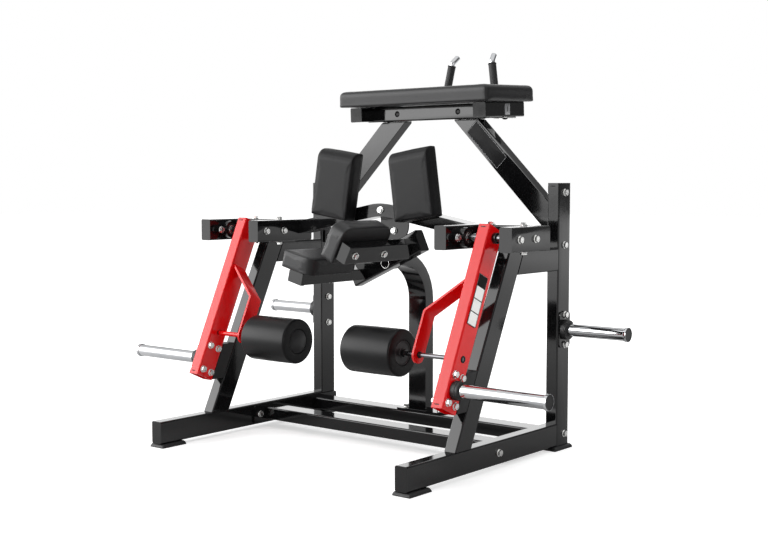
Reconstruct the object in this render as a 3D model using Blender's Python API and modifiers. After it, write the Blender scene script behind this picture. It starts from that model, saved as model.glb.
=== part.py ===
# Kneeling hamstring machine: a plate-loaded frame with two swinging roller arms, a knee rest that
# rocks to either side, two thigh pads, a chest pad and two handles.
# Metres. +X is the machine's right, +Y its back, +Z up from the floor.
import math

import bmesh
import bpy
from mathutils import Matrix, Vector

for old in list(bpy.data.objects):
    bpy.data.objects.remove(old, do_unlink=True)

# Sections and clearances
tubeWidth = 0.050
tubeDepth = 0.085
wall = 0.003
cornerRound = 0.006
gap = 0.0003
sink = 0.001
turnSteps = 22
runningPlay = 0.00005
runningSteps = 28

# Side frames: base rail, rear post, slanted post and side tube
sideCentre = 0.589
railLength = 0.909
footHeight = 0.015
footWidth = 0.066
footFlare = 0.007
frontFootLength = 0.110
rearFootLength = 0.116
postTop = 1.000
sideTubeTop = 0.760
slantFoot = -0.6456
slantHead = -0.327

# Cross tubes between the base rails
crossHeight = 0.050
frontCrossY = -0.3145
rearCrossY = -0.0165
endPlateThickness = 0.008
endPlateHeight = 0.070
endPlateFront = -0.420
endPlateBoltFront = -0.386
endPlateBoltBack = 0.053

# Hexagon bolts
headRadius = 0.0115
headHeight = 0.009

# Arch post that carries the knee rocker
archSetback = 0.002
archBend = 0.173
archPlateHalf = 0.105
archPlateThickness = 0.008
headPlateRadius = 0.042
headPlateThickness = 0.012

# Knee rocker, tilted about an axis that runs fore and aft
rockerDrop = 0.2135
rockerTilt = math.radians(24.8)
rockerPlay = 0.001
beamHalf = 0.180
rockerAxleRadius = 0.0125
rockerCollarRadius = 0.017
rockerCollarLength = 0.004
backingOffset = 0.132
backingWidth = 0.068
backingHeight = 0.045
backingFront = -0.639
backingInsetR = 0.015
backingBoltStart = 0.041
backingBoltPitch = 0.163
kneePadTilt = math.radians(38.6)
kneePadWidth = 0.145
kneePadThickness = 0.066
kneePadFront = -0.650
kneePadBack = -0.368
kneePadCorner = 0.016
pinAcross = 0.027
pinBelow = 0.008
pinTravel = 0.010
pinRadius = 0.0055
pinCollarRadius = 0.011
pinCollarLength = 0.022
pinRingRadius = 0.0185
pinRingWire = 0.0017

# Pivot housings of the arms
pivotY = -0.423
housingClear = 0.220
housingFront = -0.521
outerWallBack = -0.2805
innerWallBack = -0.2095
bridgeBack = -0.2035
backTubeThickness = 0.050
basePlateThickness = 0.008
basePlateHalf = 0.090
basePlateLength = 0.100
basePlateBoltReach = 0.068
shaftRadius = 0.0125
shaftCollarRadius = 0.0195
shaftCollarLength = 0.014
bearingHub = 0.035
bearingHubDepth = 0.027
bearingFlange = 0.014
bearingEar = 0.015
bearingBoltReach = 0.0495

# Bridge between the inner walls
bridgeRise = 0.1112
bridgeSlope = math.radians(10.5)
bridgeBendRadius = 0.250
lugRadius = 0.068
lugDrop = 0.085
lugBoltDrop = 0.022
lugThickness = 0.008

# Thigh pads
thighX = 0.1909
thighRise = 0.0735
thighClear = 0.0015
thighWidth = 0.181
thighLength = 0.265
thighThickness = 0.068
thighRoll = math.radians(8.6)
thighPitch = math.radians(1.0)
thighStubDepth = 0.046
thighPostRise = 0.108
thighPostInset = 0.012
thighPostBase = 0.014

# Arms
armTilt = math.radians(24.6)
armAbove = 0.036
armBelow = 0.623
armHornRise = 0.0755
rollerRise = 0.1836
armBoltAcross = 0.022
armBoltAlong = 0.049
armCollarRadius = 0.033
armCollarLength = 0.031
hornRadius = 0.0235
hornWall = 0.004
armHornTip = 0.980
hornCapRadius = 0.0265
hornCapLength = 0.012
placardDrop = 0.2315
placardAcross = -0.007
placardLength = 0.181
placardWidth = 0.054
placardThickness = 0.0015

# Roller, its axle and the flat bar that carries it
barThickness = 0.008
barHalfWidth = 0.031
barLength = 0.2694
barBendRise = 0.1499
barInset = 0.1355
axleRadius = 0.008
axleHeadRadius = 0.014
axleHeadLength = 0.009
axleStub = 0.004
rollerRadius = 0.0845
rollerInner = 0.1365
rollerOuter = 0.3595
rollerEdge = 0.016
rollerHubRadius = 0.044
rollerHubStep = 0.005

# Rubber stops on the slanted posts
stopDrop = 0.0146
stopLength = 0.148

# Storage horns on the rear posts
storageHeight = 0.453
storageTip = 0.885
storagePlateLength = 0.133
storagePlateWidth = 0.072
storagePlateThickness = 0.006
storageBoltReach = 0.056
storageCollarRadius = 0.036
storageCollarLength = 0.020

# Upper tubes, top frame and chest pad
upperFrontY = 0.017
upperTopInner = 0.1196
topBeamRise = 0.248
topBeamSize = 0.060
topBeamFrontY = 0.0034
upperPlateDrop = 0.010
upperPlateLength = 0.245
upperBoltInset = 0.025
railHalf = 0.029
railCentre = 0.305
railFrontY = -0.073
railBackY = 0.194
railTilt = math.radians(3.0)
railDrop = 0.0015
recessOffset = 0.151
recessRadius = 0.012
recessDepth = 0.004
chestPadHalf = 0.363
chestPadFront = -0.110
chestPadBack = 0.2185
chestPadThickness = 0.062
upperSignX = 0.280
upperSignLength = 0.205
upperSignWidth = 0.068

# Handles
handleRadius = 0.0127
gripRadius = 0.0165
handleX = 0.1186
handleRiseY = 0.303
handleLean = 0.002
handleNeckRise = 0.117
handleTopX = 0.100
handleTopY = 0.313
handleTopRise = 0.222
handleTipX = 0.091
handleTipY = 0.342
handleTipRise = 0.249
handleBends = (0.045, 0.100, 0.022)
gripBottomRise = 0.072
gripTopDrop = 0.008

paint = {
    "frame": ((0.045, 0.045, 0.048), 0.0, 0.32),
    "arm": ((0.62, 0.035, 0.04), 0.0, 0.35),
    "pad": ((0.055, 0.055, 0.057), 0.0, 0.6),
    "foam": ((0.03, 0.03, 0.032), 0.0, 0.75),
    "chrome": ((0.80, 0.80, 0.82), 1.0, 0.12),
    "steel": ((0.62, 0.62, 0.64), 1.0, 0.3),
    "rubber": ((0.02, 0.02, 0.02), 0.0, 0.7),
    "plastic": ((0.03, 0.03, 0.03), 0.0, 0.45),
}

parts = bpy.data.collections.new("kneeling_hamstring_machine")
guides = bpy.data.collections.new("guides")
bpy.context.scene.collection.children.link(parts)
bpy.context.scene.collection.children.link(guides)


def runningBore(radius):
    # wide enough that the flats of the bore clear the shaft at every angle
    return (radius + runningPlay) / math.cos(math.pi / runningSteps)


def empty(name, location, rotation=(0.0, 0.0, 0.0), parent=None):
    holder = bpy.data.objects.new(name, None)
    holder.empty_display_size = 0.05
    holder.location = location
    holder.rotation_euler = rotation
    holder.parent = parent
    parts.objects.link(holder)
    return holder


def finish(ob, look):
    colour, metal, rough = paint[look]
    mat = bpy.data.materials.new(ob.name)
    mat.use_nodes = True
    shader = mat.node_tree.nodes["Principled BSDF"]
    shader.inputs["Base Color"].default_value = (*colour, 1.0)
    shader.inputs["Metallic"].default_value = metal
    shader.inputs["Roughness"].default_value = rough
    mat.diffuse_color = (*colour, 1.0)
    ob.data.materials.clear()
    ob.data.materials.append(mat)


def place(ob, look, parent, location, rotation=(0.0, 0.0, 0.0)):
    # a piece with a look is part of the machine; one without is a guide that shapes another piece
    ob.location = location
    ob.rotation_euler = rotation
    ob.parent = parent
    if look:
        parts.objects.link(ob)
        finish(ob, look)
    else:
        guides.objects.link(ob)
        ob.hide_render = True
        ob.display_type = "WIRE"
    return ob


def combine(ob, operation, tools):
    for tool in tools:
        mod = ob.modifiers.new(operation.lower(), "BOOLEAN")
        mod.operation = operation
        mod.solver = "EXACT"
        mod.object = tool
    return ob


def cut(ob, *tools):
    return combine(ob, "DIFFERENCE", tools)


def weld(ob, *tools):
    return combine(ob, "UNION", tools)


def bevel(ob, width, segments, byWeight=False):
    mod = ob.modifiers.new("round", "BEVEL")
    mod.width = width
    mod.segments = segments
    mod.limit_method = "WEIGHT" if byWeight else "ANGLE"
    return ob


def block(name, size, look, parent, location, rotation=(0.0, 0.0, 0.0), along=None, shape=None,
          radius=0.0, segments=2):
    # a box; along names the axis whose four long edges are rounded, shape moves its corners
    bm = bmesh.new()
    bmesh.ops.create_cube(bm, size=1.0, matrix=Matrix.Diagonal((*size, 1.0)))
    if along is not None:
        weight = bm.edges.layers.float.new("bevel_weight_edge")
        for edge in bm.edges:
            run = edge.verts[0].co - edge.verts[1].co
            edge[weight] = 1.0 if abs(run[along]) > 0.99 * run.length else 0.0
    if shape:
        for vert in bm.verts:
            shape(vert.co)
    mesh = bpy.data.meshes.new(name)
    bm.to_mesh(mesh)
    bm.free()
    ob = place(bpy.data.objects.new(name, mesh), look, parent, location, rotation)
    if radius:
        bevel(ob, radius, segments, along is not None)
    return ob


def hollow(name, size, along, look, parent, location, rotation=(0.0, 0.0, 0.0), shape=None,
           openLow=True, openHigh=True):
    # a square tube: a rounded box with a bore that runs out of its open ends
    reach = 0.02
    low = reach if openLow else -wall
    high = reach if openHigh else -wall
    boreSize = [extent - 2 * wall for extent in size]
    boreSize[along] = size[along] + low + high
    shift = Vector((0.0, 0.0, 0.0))
    shift[along] = (high - low) / 2
    tube = block(name, size, look, parent, location, rotation, along, shape, cornerRound)

    def shapeBore(co):
        co += shift
        if shape:
            shape(co)

    bore = block(name + "_bore", boreSize, None, parent, location, rotation, None, shapeBore)
    return tube, bore


def turned(name, profile, look, parent, location, rotation=(0.0, 0.0, 0.0), ring=False,
           steps=turnSteps):
    # profile points are (radius, height), down the outer side and back up any inner side
    count = len(profile)
    chain = [(i, i + 1) for i in range(count - 1)]
    if ring:
        chain.append((count - 1, 0))
    mesh = bpy.data.meshes.new(name)
    mesh.from_pydata([(r, 0.0, h) for r, h in profile], chain, [])
    ob = place(bpy.data.objects.new(name, mesh), look, parent, location, rotation)
    mod = ob.modifiers.new("turn", "SCREW")
    mod.axis = "Z"
    mod.steps = steps
    mod.render_steps = steps
    mod.use_merge_vertices = True
    mod.merge_threshold = 0.00001
    mod.use_smooth_shade = False
    return ob


def cylinder(name, radius, low, high, look, parent, location, rotation=(0.0, 0.0, 0.0),
             steps=turnSteps):
    bm = bmesh.new()
    bmesh.ops.create_cone(bm, cap_ends=True, segments=steps, radius1=radius, radius2=radius,
                          depth=high - low, matrix=Matrix.Translation((0.0, 0.0, (high + low) / 2)))
    mesh = bpy.data.meshes.new(name)
    bm.to_mesh(mesh)
    bm.free()
    return place(bpy.data.objects.new(name, mesh), look, parent, location, rotation)


def meshed(curveOb, name, look, parent, location, rotation):
    # the curve's evaluated shape as a closed mesh
    bpy.context.scene.collection.objects.link(curveOb)
    bpy.context.view_layer.update()
    graph = bpy.context.evaluated_depsgraph_get()
    mesh = bpy.data.meshes.new_from_object(curveOb.evaluated_get(graph))
    mesh.name = name
    bpy.data.objects.remove(curveOb, do_unlink=True)
    bm = bmesh.new()
    bm.from_mesh(mesh)
    bmesh.ops.remove_doubles(bm, verts=bm.verts, dist=0.00001)
    bmesh.ops.recalc_face_normals(bm, faces=bm.faces)
    bm.to_mesh(mesh)
    bm.free()
    return place(bpy.data.objects.new(name, mesh), look, parent, location, rotation)


def plate(name, outline, thickness, look, parent, location, rotation=(0.0, 0.0, 0.0)):
    # a flat outline in its own XY plane, half the thickness to each side
    curve = bpy.data.curves.new(name, "CURVE")
    curve.dimensions = "2D"
    curve.fill_mode = "BOTH"
    curve.extrude = thickness / 2
    line = curve.splines.new("POLY")
    line.points.add(len(outline) - 1)
    for point, (x, y) in zip(line.points, outline):
        point.co = (x, y, 0.0, 1.0)
    line.use_cyclic_u = True
    return meshed(bpy.data.objects.new(name, curve), name, look, parent, location, rotation)


def rod(name, route, radius, look, parent, resolution=2):
    # a round bar along a route of points
    curve = bpy.data.curves.new(name, "CURVE")
    curve.dimensions = "3D"
    curve.bevel_depth = radius
    curve.bevel_resolution = resolution
    curve.use_fill_caps = True
    line = curve.splines.new("POLY")
    line.points.add(len(route) - 1)
    for point, spot in zip(line.points, route):
        point.co = (*spot, 1.0)
    return meshed(bpy.data.objects.new(name, curve), name, look, parent, (0.0, 0.0, 0.0),
                  (0.0, 0.0, 0.0))


def arc(cx, cy, radius, start, end, count):
    # points on a circle, angles in degrees
    steps = [math.radians(start + (end - start) * i / count) for i in range(count + 1)]
    return [(cx + radius * math.cos(a), cy + radius * math.sin(a)) for a in steps]


def bolts(ob, spots, normal, parent):
    # hexagon heads standing on a face of the piece
    normal = Vector(normal)
    turn = normal.to_track_quat("Z", "Y").to_matrix().to_4x4()
    bm = bmesh.new()
    for spot in spots:
        middle = Vector(spot) + normal * (headHeight - sink) / 2
        bmesh.ops.create_cone(bm, cap_ends=True, segments=6, radius1=headRadius, radius2=headRadius,
                              depth=headHeight + sink, matrix=Matrix.Translation(middle) @ turn)
    mesh = bpy.data.meshes.new(ob.name + "_heads")
    bm.to_mesh(mesh)
    bm.free()
    weld(ob, place(bpy.data.objects.new(mesh.name, mesh), None, parent, (0.0, 0.0, 0.0)))


def cushion(name, size, edge, crown, drawIn, parent, location, rotation=(0.0, 0.0, 0.0),
            topRound=0.0, corner=0.0):
    # a soft pad in its own XY plane with its face at +Z: a coarse cage, smoothed
    width, length, thickness = size
    bm = bmesh.new()
    bmesh.ops.create_cube(bm, size=2.0)
    bmesh.ops.subdivide_edges(bm, edges=bm.edges[:], cuts=3, use_grid_fill=True)
    for vert in bm.verts:
        u, v, w = vert.co
        spread = []
        for t, half in ((u, width / 2), (v, length / 2), (w, thickness / 2)):
            inner = half - min(edge, half * 0.6)
            spread.append(math.copysign(half if abs(t) > 0.9 else inner, t) if abs(t) > 0.1 else 0.0)
        x, y, z = spread
        bulge = (1.0 - u * u) * (1.0 - v * v)
        if w > 0.9:
            z += crown * bulge
        if w > 0.1 and v > 0.4 and topRound:
            z -= topRound * (0.35 if v < 0.9 else 1.0)
        side = 1.0 - w * w
        x += math.copysign(drawIn * side, u) if abs(u) > 0.9 else 0.0
        y += math.copysign(drawIn * side, v) if abs(v) > 0.9 else 0.0
        if abs(u) > 0.9 and abs(v) > 0.9:
            x -= math.copysign(corner, u)
            y -= math.copysign(corner, v)
        vert.co = (x, y, z)
    mesh = bpy.data.meshes.new(name)
    bm.to_mesh(mesh)
    bm.free()
    mesh.shade_smooth()
    ob = place(bpy.data.objects.new(name, mesh), "pad", parent, location, rotation)
    mod = ob.modifiers.new("soft", "SUBSURF")
    mod.levels = 1
    mod.render_levels = 1
    return ob


machine = empty("machine", (0.0, 0.0, 0.0))
acrossX = (math.radians(90), 0.0, math.radians(90))
acrossY = (math.radians(90), 0.0, 0.0)

railTop = footHeight + tubeDepth
sideInner = sideCentre - tubeWidth / 2
sideOuter = sideCentre + tubeWidth / 2
crossZ = footHeight + tubeDepth / 2
slantSlope = (slantHead - slantFoot) / (sideTubeTop - railTop)
slantDepth = tubeDepth * math.sqrt(1.0 + slantSlope * slantSlope)
storageY = tubeDepth / 2
housingBottom = sideTubeTop + gap + basePlateThickness
pivotHeight = housingBottom + tubeDepth / 2
bridgeApex = pivotHeight + bridgeRise
bridgeFront = bridgeBack - tubeDepth
rockerHeight = bridgeApex - rockerDrop
topBeamBottom = postTop + topBeamRise
upperPlateTop = postTop - upperPlateDrop
upperPlateBottom = upperPlateTop - upperPlateLength
armHornDrop = armBelow - armHornRise
rollerDrop = armBelow - rollerRise


def slantFront(z):
    return slantFoot + slantSlope * (z - railTop)


def foot(name, length, location):
    # the pad spreads towards the floor
    def spread(co):
        if co.z < 0:
            co.x += math.copysign(footFlare, co.x)
            co.y += math.copysign(footFlare, co.y)

    return block(name, (footWidth, length, footHeight - gap), "rubber", machine, location,
                 shape=spread, radius=0.004, segments=1)


def sideFrame(side, sign):
    x = sign * sideCentre
    size = (tubeWidth, railLength - gap, tubeDepth)
    middle = (x, -(railLength + gap) / 2, crossZ)
    rail, bore = hollow("base_rail_" + side, size, 1, "frame", machine, middle, openLow=False)
    bolts(rail, [(sign * sideOuter, endPlateBoltFront, crossZ)], (sign, 0.0, 0.0), machine)
    cut(rail, bore)

    size = (tubeWidth, tubeDepth, postTop - footHeight)
    middle = (x, tubeDepth / 2, (postTop + footHeight) / 2)
    post, bore = hollow("rear_post_" + side, size, 2, "frame", machine, middle, openHigh=False)
    hornPlate = block("horn_plate_" + side,
                      (storagePlateThickness + sink, storagePlateWidth, storagePlateLength), None,
                      machine,
                      (sign * (sideOuter + (storagePlateThickness - sink) / 2), storageY,
                       storageHeight), along=0, radius=0.012)
    collar = cylinder("horn_seat_" + side, storageCollarRadius, -sink, storageCollarLength, None,
                      machine, (sign * (sideOuter + storagePlateThickness), storageY, storageHeight),
                      (0.0, sign * math.radians(90), 0.0))
    weld(post, hornPlate, collar)
    plateFace = sign * (sideOuter + storagePlateThickness)
    bolts(post, [(plateFace, storageY, storageHeight + storageBoltReach),
                 (plateFace, storageY, storageHeight - storageBoltReach)], (sign, 0.0, 0.0), machine)
    spots = [(sign * sideOuter, endPlateBoltBack, crossZ),
             (sign * sideOuter, upperFrontY + tubeWidth / 2, upperPlateBottom + upperBoltInset),
             (sign * sideOuter, upperFrontY + tubeWidth / 2, upperPlateTop - upperBoltInset)]
    bolts(post, spots, (sign, 0.0, 0.0), machine)
    spots = [(sign * sideInner, storageY, storageHeight + storageBoltReach),
             (sign * sideInner, storageY, storageHeight - storageBoltReach)]
    bolts(post, spots, (-sign, 0.0, 0.0), machine)
    seat = cylinder("horn_socket_" + side, hornRadius + gap, -0.002, 0.05, None, machine,
                    (sign * (sideOuter + storagePlateThickness), storageY, storageHeight),
                    (0.0, sign * math.radians(90), 0.0))
    cut(post, bore, seat)

    def lean(co):
        co.y += slantSlope * co.z

    size = (tubeWidth, slantDepth, sideTubeTop - railTop - gap)
    z = (sideTubeTop + railTop + gap) / 2
    middle = (x, slantFront(z) + slantDepth / 2, z)
    slanted, bore = hollow("slanted_post_" + side, size, 2, "frame", machine, middle, shape=lean)
    cut(slanted, bore)

    zTube = sideTubeTop - tubeDepth / 2
    front = slantFront(zTube) + slantDepth + gap
    length = -gap - front

    def slope(co):
        if co.y < 0:
            co.y += slantSlope * co.z

    size = (tubeWidth, length, tubeDepth)
    tube, bore = hollow("side_tube_" + side, size, 1, "frame", machine,
                        (x, front + length / 2, zTube), shape=slope)
    cut(tube, bore)

    footZ = (footHeight - gap) / 2
    foot("foot_front_" + side, frontFootLength,
         (x, -railLength + frontFootLength / 2 + footFlare / 2, footZ))
    foot("foot_rear_" + side, rearFootLength, (x, tubeDepth / 2 - footFlare, footZ))

    length = storageTip - sideOuter - storagePlateThickness
    horn("storage_horn_" + side, length, machine,
         (sign * (sideOuter + storagePlateThickness), storageY, storageHeight), sign)


def horn(name, length, parent, location, sign):
    # an open sleeve with a wider end cap
    lip = length - hornCapLength
    profile = [(0.0, length), (hornCapRadius - 0.002, length), (hornCapRadius, length - 0.002),
               (hornCapRadius, lip), (hornRadius, lip), (hornRadius, gap), (hornRadius - hornWall, gap),
               (hornRadius - hornWall, lip), (0.0, lip)]
    return turned(name, profile, "chrome", parent, location, (0.0, sign * math.radians(90), 0.0))


plateInner = sideInner - gap - endPlateThickness


def crossTube(name, y):
    size = (2 * (plateInner - gap), tubeDepth, crossHeight)
    tube, bore = hollow(name, size, 0, "frame", machine, (0.0, y, crossZ))
    return cut(tube, bore)


for side, sign in (("L", -1), ("R", 1)):
    sideFrame(side, sign)
    run = tubeDepth - endPlateFront
    endPlate = block("end_plate_" + side, (endPlateThickness, run, endPlateHeight), "frame", machine,
                     (sign * (plateInner + endPlateThickness / 2), endPlateFront + run / 2, crossZ),
                     along=0, radius=0.008)
    bolts(endPlate, [(sign * plateInner, y, crossZ) for y in (endPlateBoltFront, endPlateBoltBack)],
          (-sign, 0.0, 0.0), machine)
crossTube("front_cross_tube", frontCrossY)
crossTube("rear_cross_tube", rearCrossY)
crossTop = crossZ + crossHeight / 2

# The arch post stands on the rear cross tube and bends forward to the rocker's axis
archY = rearCrossY - tubeDepth / 2 + archSetback + tubeWidth / 2
archEnd = archY - archBend
bendStart = rockerHeight - archBend
plateTop = crossTop + gap + archPlateThickness


def archOutline(half, bottom, over):
    outer = arc(archEnd, bendStart, archBend + half, 0, 90, 9)
    inner = arc(archEnd, bendStart, archBend - half, 90, 0, 9)
    start = [(archY + half, bottom)]
    end = [(archY - half, bottom)]
    tip = [(archEnd - over, rockerHeight + half), (archEnd - over, rockerHeight - half)]
    return start + outer + tip + inner + end


arch = plate("arch_post", archOutline(tubeWidth / 2, plateTop - sink, 0.0005), tubeDepth, "frame",
             machine, (0.0, 0.0, 0.0), acrossX)
bevel(arch, cornerRound, 1)
archBore = plate("arch_bore", archOutline(tubeWidth / 2 - wall, plateTop - 2 * sink, 2 * sink),
                 tubeDepth - 2 * wall, None, machine, (0.0, 0.0, 0.0), acrossX)
archBase = block("arch_base", (2 * archPlateHalf, tubeDepth, archPlateThickness), None, machine,
                 (0.0, rearCrossY, plateTop - archPlateThickness / 2), along=2, radius=0.006)
headFace = archEnd - headPlateThickness
headPlate = cylinder("head_plate", headPlateRadius, 0.0, headPlateThickness, None, machine,
                     (0.0, archEnd, rockerHeight), acrossY)
weld(arch, archBase, headPlate)
bolts(arch, [(-archPlateHalf + 0.02, rearCrossY, plateTop), (archPlateHalf - 0.02, rearCrossY, plateTop)],
      (0.0, 0.0, 1.0), machine)
pivotBore = cylinder("head_bore", runningBore(rockerAxleRadius), -0.02, 0.02, None, machine,
                     (0.0, archEnd, rockerHeight), acrossY, steps=runningSteps)
cut(arch, archBore, pivotBore)
pinSpot = Vector((pinAcross, 0.0, -pinBelow))
for turn in (-rockerTilt, rockerTilt):
    # blind holes that the pull pin drops into at either end of the rocker's travel
    spot = Matrix.Rotation(turn, 3, "Y") @ pinSpot + Vector((0.0, headFace, rockerHeight))
    cut(arch, cylinder("index_hole", pinRadius + gap, -pinTravel, 0.01, None, machine, spot, acrossY,
                       steps=16))

# Knee rocker: a beam across the axis, two backing tubes ahead of it and two pads in a valley
rocker = empty("rocker_axis", (0.0, 0.0, rockerHeight), (0.0, -rockerTilt, 0.0), machine)
beamBack = headFace - rockerPlay
beamFront = beamBack - tubeWidth
beamY = (beamBack + beamFront) / 2
beam, beamBore = hollow("knee_rocker", (2 * beamHalf, tubeWidth, tubeDepth), 0, "frame", rocker,
                        (0.0, beamY, 0.0), openLow=False, openHigh=False)
backingBores = []
for side, sign, inset in (("L", -1, 0.0), ("R", 1, backingInsetR)):
    lean = (0.0, -sign * kneePadTilt, 0.0)
    length = beamFront + sink - backingFront
    # the right bar lies lower on its pad; both are bolted to it through their undersides
    outward = Vector((sign * math.cos(kneePadTilt), 0.0, math.sin(kneePadTilt)))
    under = Vector((sign * math.sin(kneePadTilt), 0.0, -math.cos(kneePadTilt)))
    middle = Vector((sign * backingOffset, 0.0, 0.0)) - outward * inset
    backing = block("backing_" + side, (backingWidth, length, backingHeight), None, rocker,
                    (middle.x, backingFront + length / 2, middle.z), lean, along=1,
                    radius=0.004)
    weld(beam, backing)
    boreLength = beamFront + wall - backingFront
    backingBores.append(
        block("backing_bore_" + side,
              (backingWidth - 2 * wall, boreLength, backingHeight - 2 * wall), None, rocker,
              (middle.x, backingFront + wall + boreLength / 2, middle.z), lean))
    face = middle + under * backingHeight / 2 + Vector((0.0, backingFront + backingBoltStart, 0.0))
    bolts(beam, [face, face + Vector((0.0, backingBoltPitch, 0.0))], under, rocker)
pinCollar = cylinder("pin_collar", pinCollarRadius, -sink, pinCollarLength, None, rocker,
                     (pinAcross, beamFront, -pinBelow), acrossY, steps=20)
axleEnd = rockerPlay + headPlateThickness - 2 * sink + rockerPlay
axle = cylinder("rocker_axle", rockerAxleRadius, -axleEnd - rockerCollarLength, sink, None, rocker,
                (0.0, beamBack, 0.0), acrossY, steps=runningSteps)
axleCollar = cylinder("rocker_axle_collar", rockerCollarRadius, -axleEnd - rockerCollarLength,
                      -axleEnd, None, rocker, (0.0, beamBack, 0.0), acrossY)
weld(beam, pinCollar, axle, axleCollar)
beamPin = cylinder("beam_pin_bore", pinRadius + gap, -0.02, 0.1, None, rocker,
                   (pinAcross, beamBack, -pinBelow), acrossY, steps=16)
cut(beam, beamBore, *backingBores, beamPin)

padStand = backingHeight / 2 + gap + kneePadThickness / 2
padLength = kneePadBack - kneePadFront
for side, sign in (("L", -1), ("R", 1)):
    upX = -sign * math.sin(kneePadTilt) * padStand
    upZ = math.cos(kneePadTilt) * padStand
    spot = (sign * backingOffset + upX, (kneePadBack + kneePadFront) / 2, upZ)
    cushion("knee_pad_" + side, (kneePadWidth, padLength, kneePadThickness), 0.014, 0.003, 0.002,
            rocker, spot, (0.0, -sign * kneePadTilt, 0.0), corner=kneePadCorner)

pinHolder = empty("pin_axis", (pinAcross, beamBack, -pinBelow), (0.0, rockerTilt, 0.0), rocker)
pinLength = tubeWidth + pinCollarLength + 0.012
nose = -rockerPlay + gap
profile = [(0.0, pinLength), (pinRadius + 0.002, pinLength), (pinRadius + 0.002, pinLength - 0.010),
           (pinRadius, pinLength - 0.0115), (pinRadius, nose), (0.0, nose)]
pin = turned("knee_pull_pin", profile, "steel", pinHolder, (0.0, 0.0, 0.0), acrossY, steps=16)
ring = turned("pull_ring", [(pinRingRadius + pinRingWire * math.cos(a), pinRingWire * math.sin(a))
                            for a in [math.radians(60 * i) for i in range(6)]][::-1], None, pinHolder,
              (0.0, -pinLength + 0.005, -pinRingRadius), acrossY, ring=True, steps=24)
weld(pin, ring)

# Bridge between the inner walls, with its lug and the stubs behind the thigh pads
wallInner = sideCentre - housingClear / 2
innerWallX = wallInner - tubeWidth / 2
outerWallX = sideCentre + housingClear / 2 + tubeWidth / 2
bridgeEnd = wallInner - tubeWidth - gap
bridgeY = bridgeBack - tubeDepth / 2
lugHeight = bridgeApex - lugDrop


def bridgeOutline(half, end):
    # half the section above and below a centre line that bends at the middle
    sharp = bridgeApex - tubeWidth / 2 + bridgeBendRadius * (1 / math.cos(bridgeSlope) - 1)
    centre = bridgeApex - tubeWidth / 2 - bridgeBendRadius
    drop = sharp - end * math.tan(bridgeSlope)
    lift = half / math.cos(bridgeSlope)
    slope = math.degrees(bridgeSlope)
    top = arc(0.0, centre, bridgeBendRadius + half, 90 - slope, 90 + slope, 6)
    bottom = arc(0.0, centre, bridgeBendRadius - half, 90 + slope, 90 - slope, 6)
    return [(end, drop + lift)] + top + [(-end, drop + lift), (-end, drop - lift)] + bottom + [
        (end, drop - lift)]


bridge = plate("bridge", bridgeOutline(tubeWidth / 2, bridgeEnd), tubeDepth, "frame", machine,
               (0.0, bridgeY, 0.0), acrossY)
bevel(bridge, cornerRound, 2)
bridgeBore = plate("bridge_bore", bridgeOutline(tubeWidth / 2 - wall, bridgeEnd + 0.01),
                   tubeDepth - 2 * wall, None, machine, (0.0, bridgeY, 0.0), acrossY)
lug = plate("lug", arc(0.0, lugHeight, lugRadius, 180, 360, 16) + [
    (lugRadius, bridgeApex - tubeWidth), (-lugRadius, bridgeApex - tubeWidth)], lugThickness, None,
            machine, (0.0, bridgeBack + lugThickness / 2 - sink, 0.0), acrossY)
weld(bridge, lug)
bolts(bridge, [(0.0, bridgeBack - tubeDepth, bridgeApex - tubeWidth / 2)], (0.0, -1.0, 0.0), machine)
bolts(bridge, [(0.0, bridgeBack - sink, lugHeight - lugBoltDrop)], (0.0, -1.0, 0.0), machine)

thighTurn = Matrix.Rotation(-thighPitch, 3, "X")
stubBores = []
for side, sign in (("L", -1), ("R", 1)):
    # the pad's own frame: width along X, length along Y, its soft face towards +Z
    turnMatrix = Matrix.Rotation(-sign * thighRoll, 3, "Y") @ thighTurn @ Matrix.Rotation(
        math.radians(90), 3, "X")
    facing = turnMatrix @ Vector((0.0, 0.0, 1.0))
    upward = turnMatrix @ Vector((0.0, 1.0, 0.0))
    face = Vector((sign * thighX, bridgeFront - thighClear - thighThickness, bridgeApex + thighRise))
    centre = face - facing * (thighThickness / 2)
    rotation = turnMatrix.to_euler()
    cushion("thigh_pad_" + side, (thighWidth, thighLength, thighThickness), 0.018, 0.003, 0.002,
            machine, centre, rotation, topRound=0.028)
    legTop = bridgeApex - abs(face.x) * math.tan(bridgeSlope)
    low = (legTop - thighPostInset - centre.z) / upward.z
    high = (bridgeApex + thighPostRise - centre.z) / upward.z
    stubSize = (tubeWidth, high - low, thighStubDepth)
    back = -facing * (thighThickness / 2 + gap + thighStubDepth / 2)
    stub = block("pad_stub_" + side, stubSize, None, machine, centre + back + upward * (low + high) / 2,
                 rotation, along=1, radius=0.004)
    boreSize = (tubeWidth - 2 * wall, high - low, thighStubDepth - 2 * wall)
    stubBores.append(block("pad_stub_bore_" + side, boreSize, None, machine,
                           centre + back + upward * ((low + high) / 2 + thighPostBase), rotation))
    weld(bridge, stub)
cut(bridge, bridgeBore, *stubBores)

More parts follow.
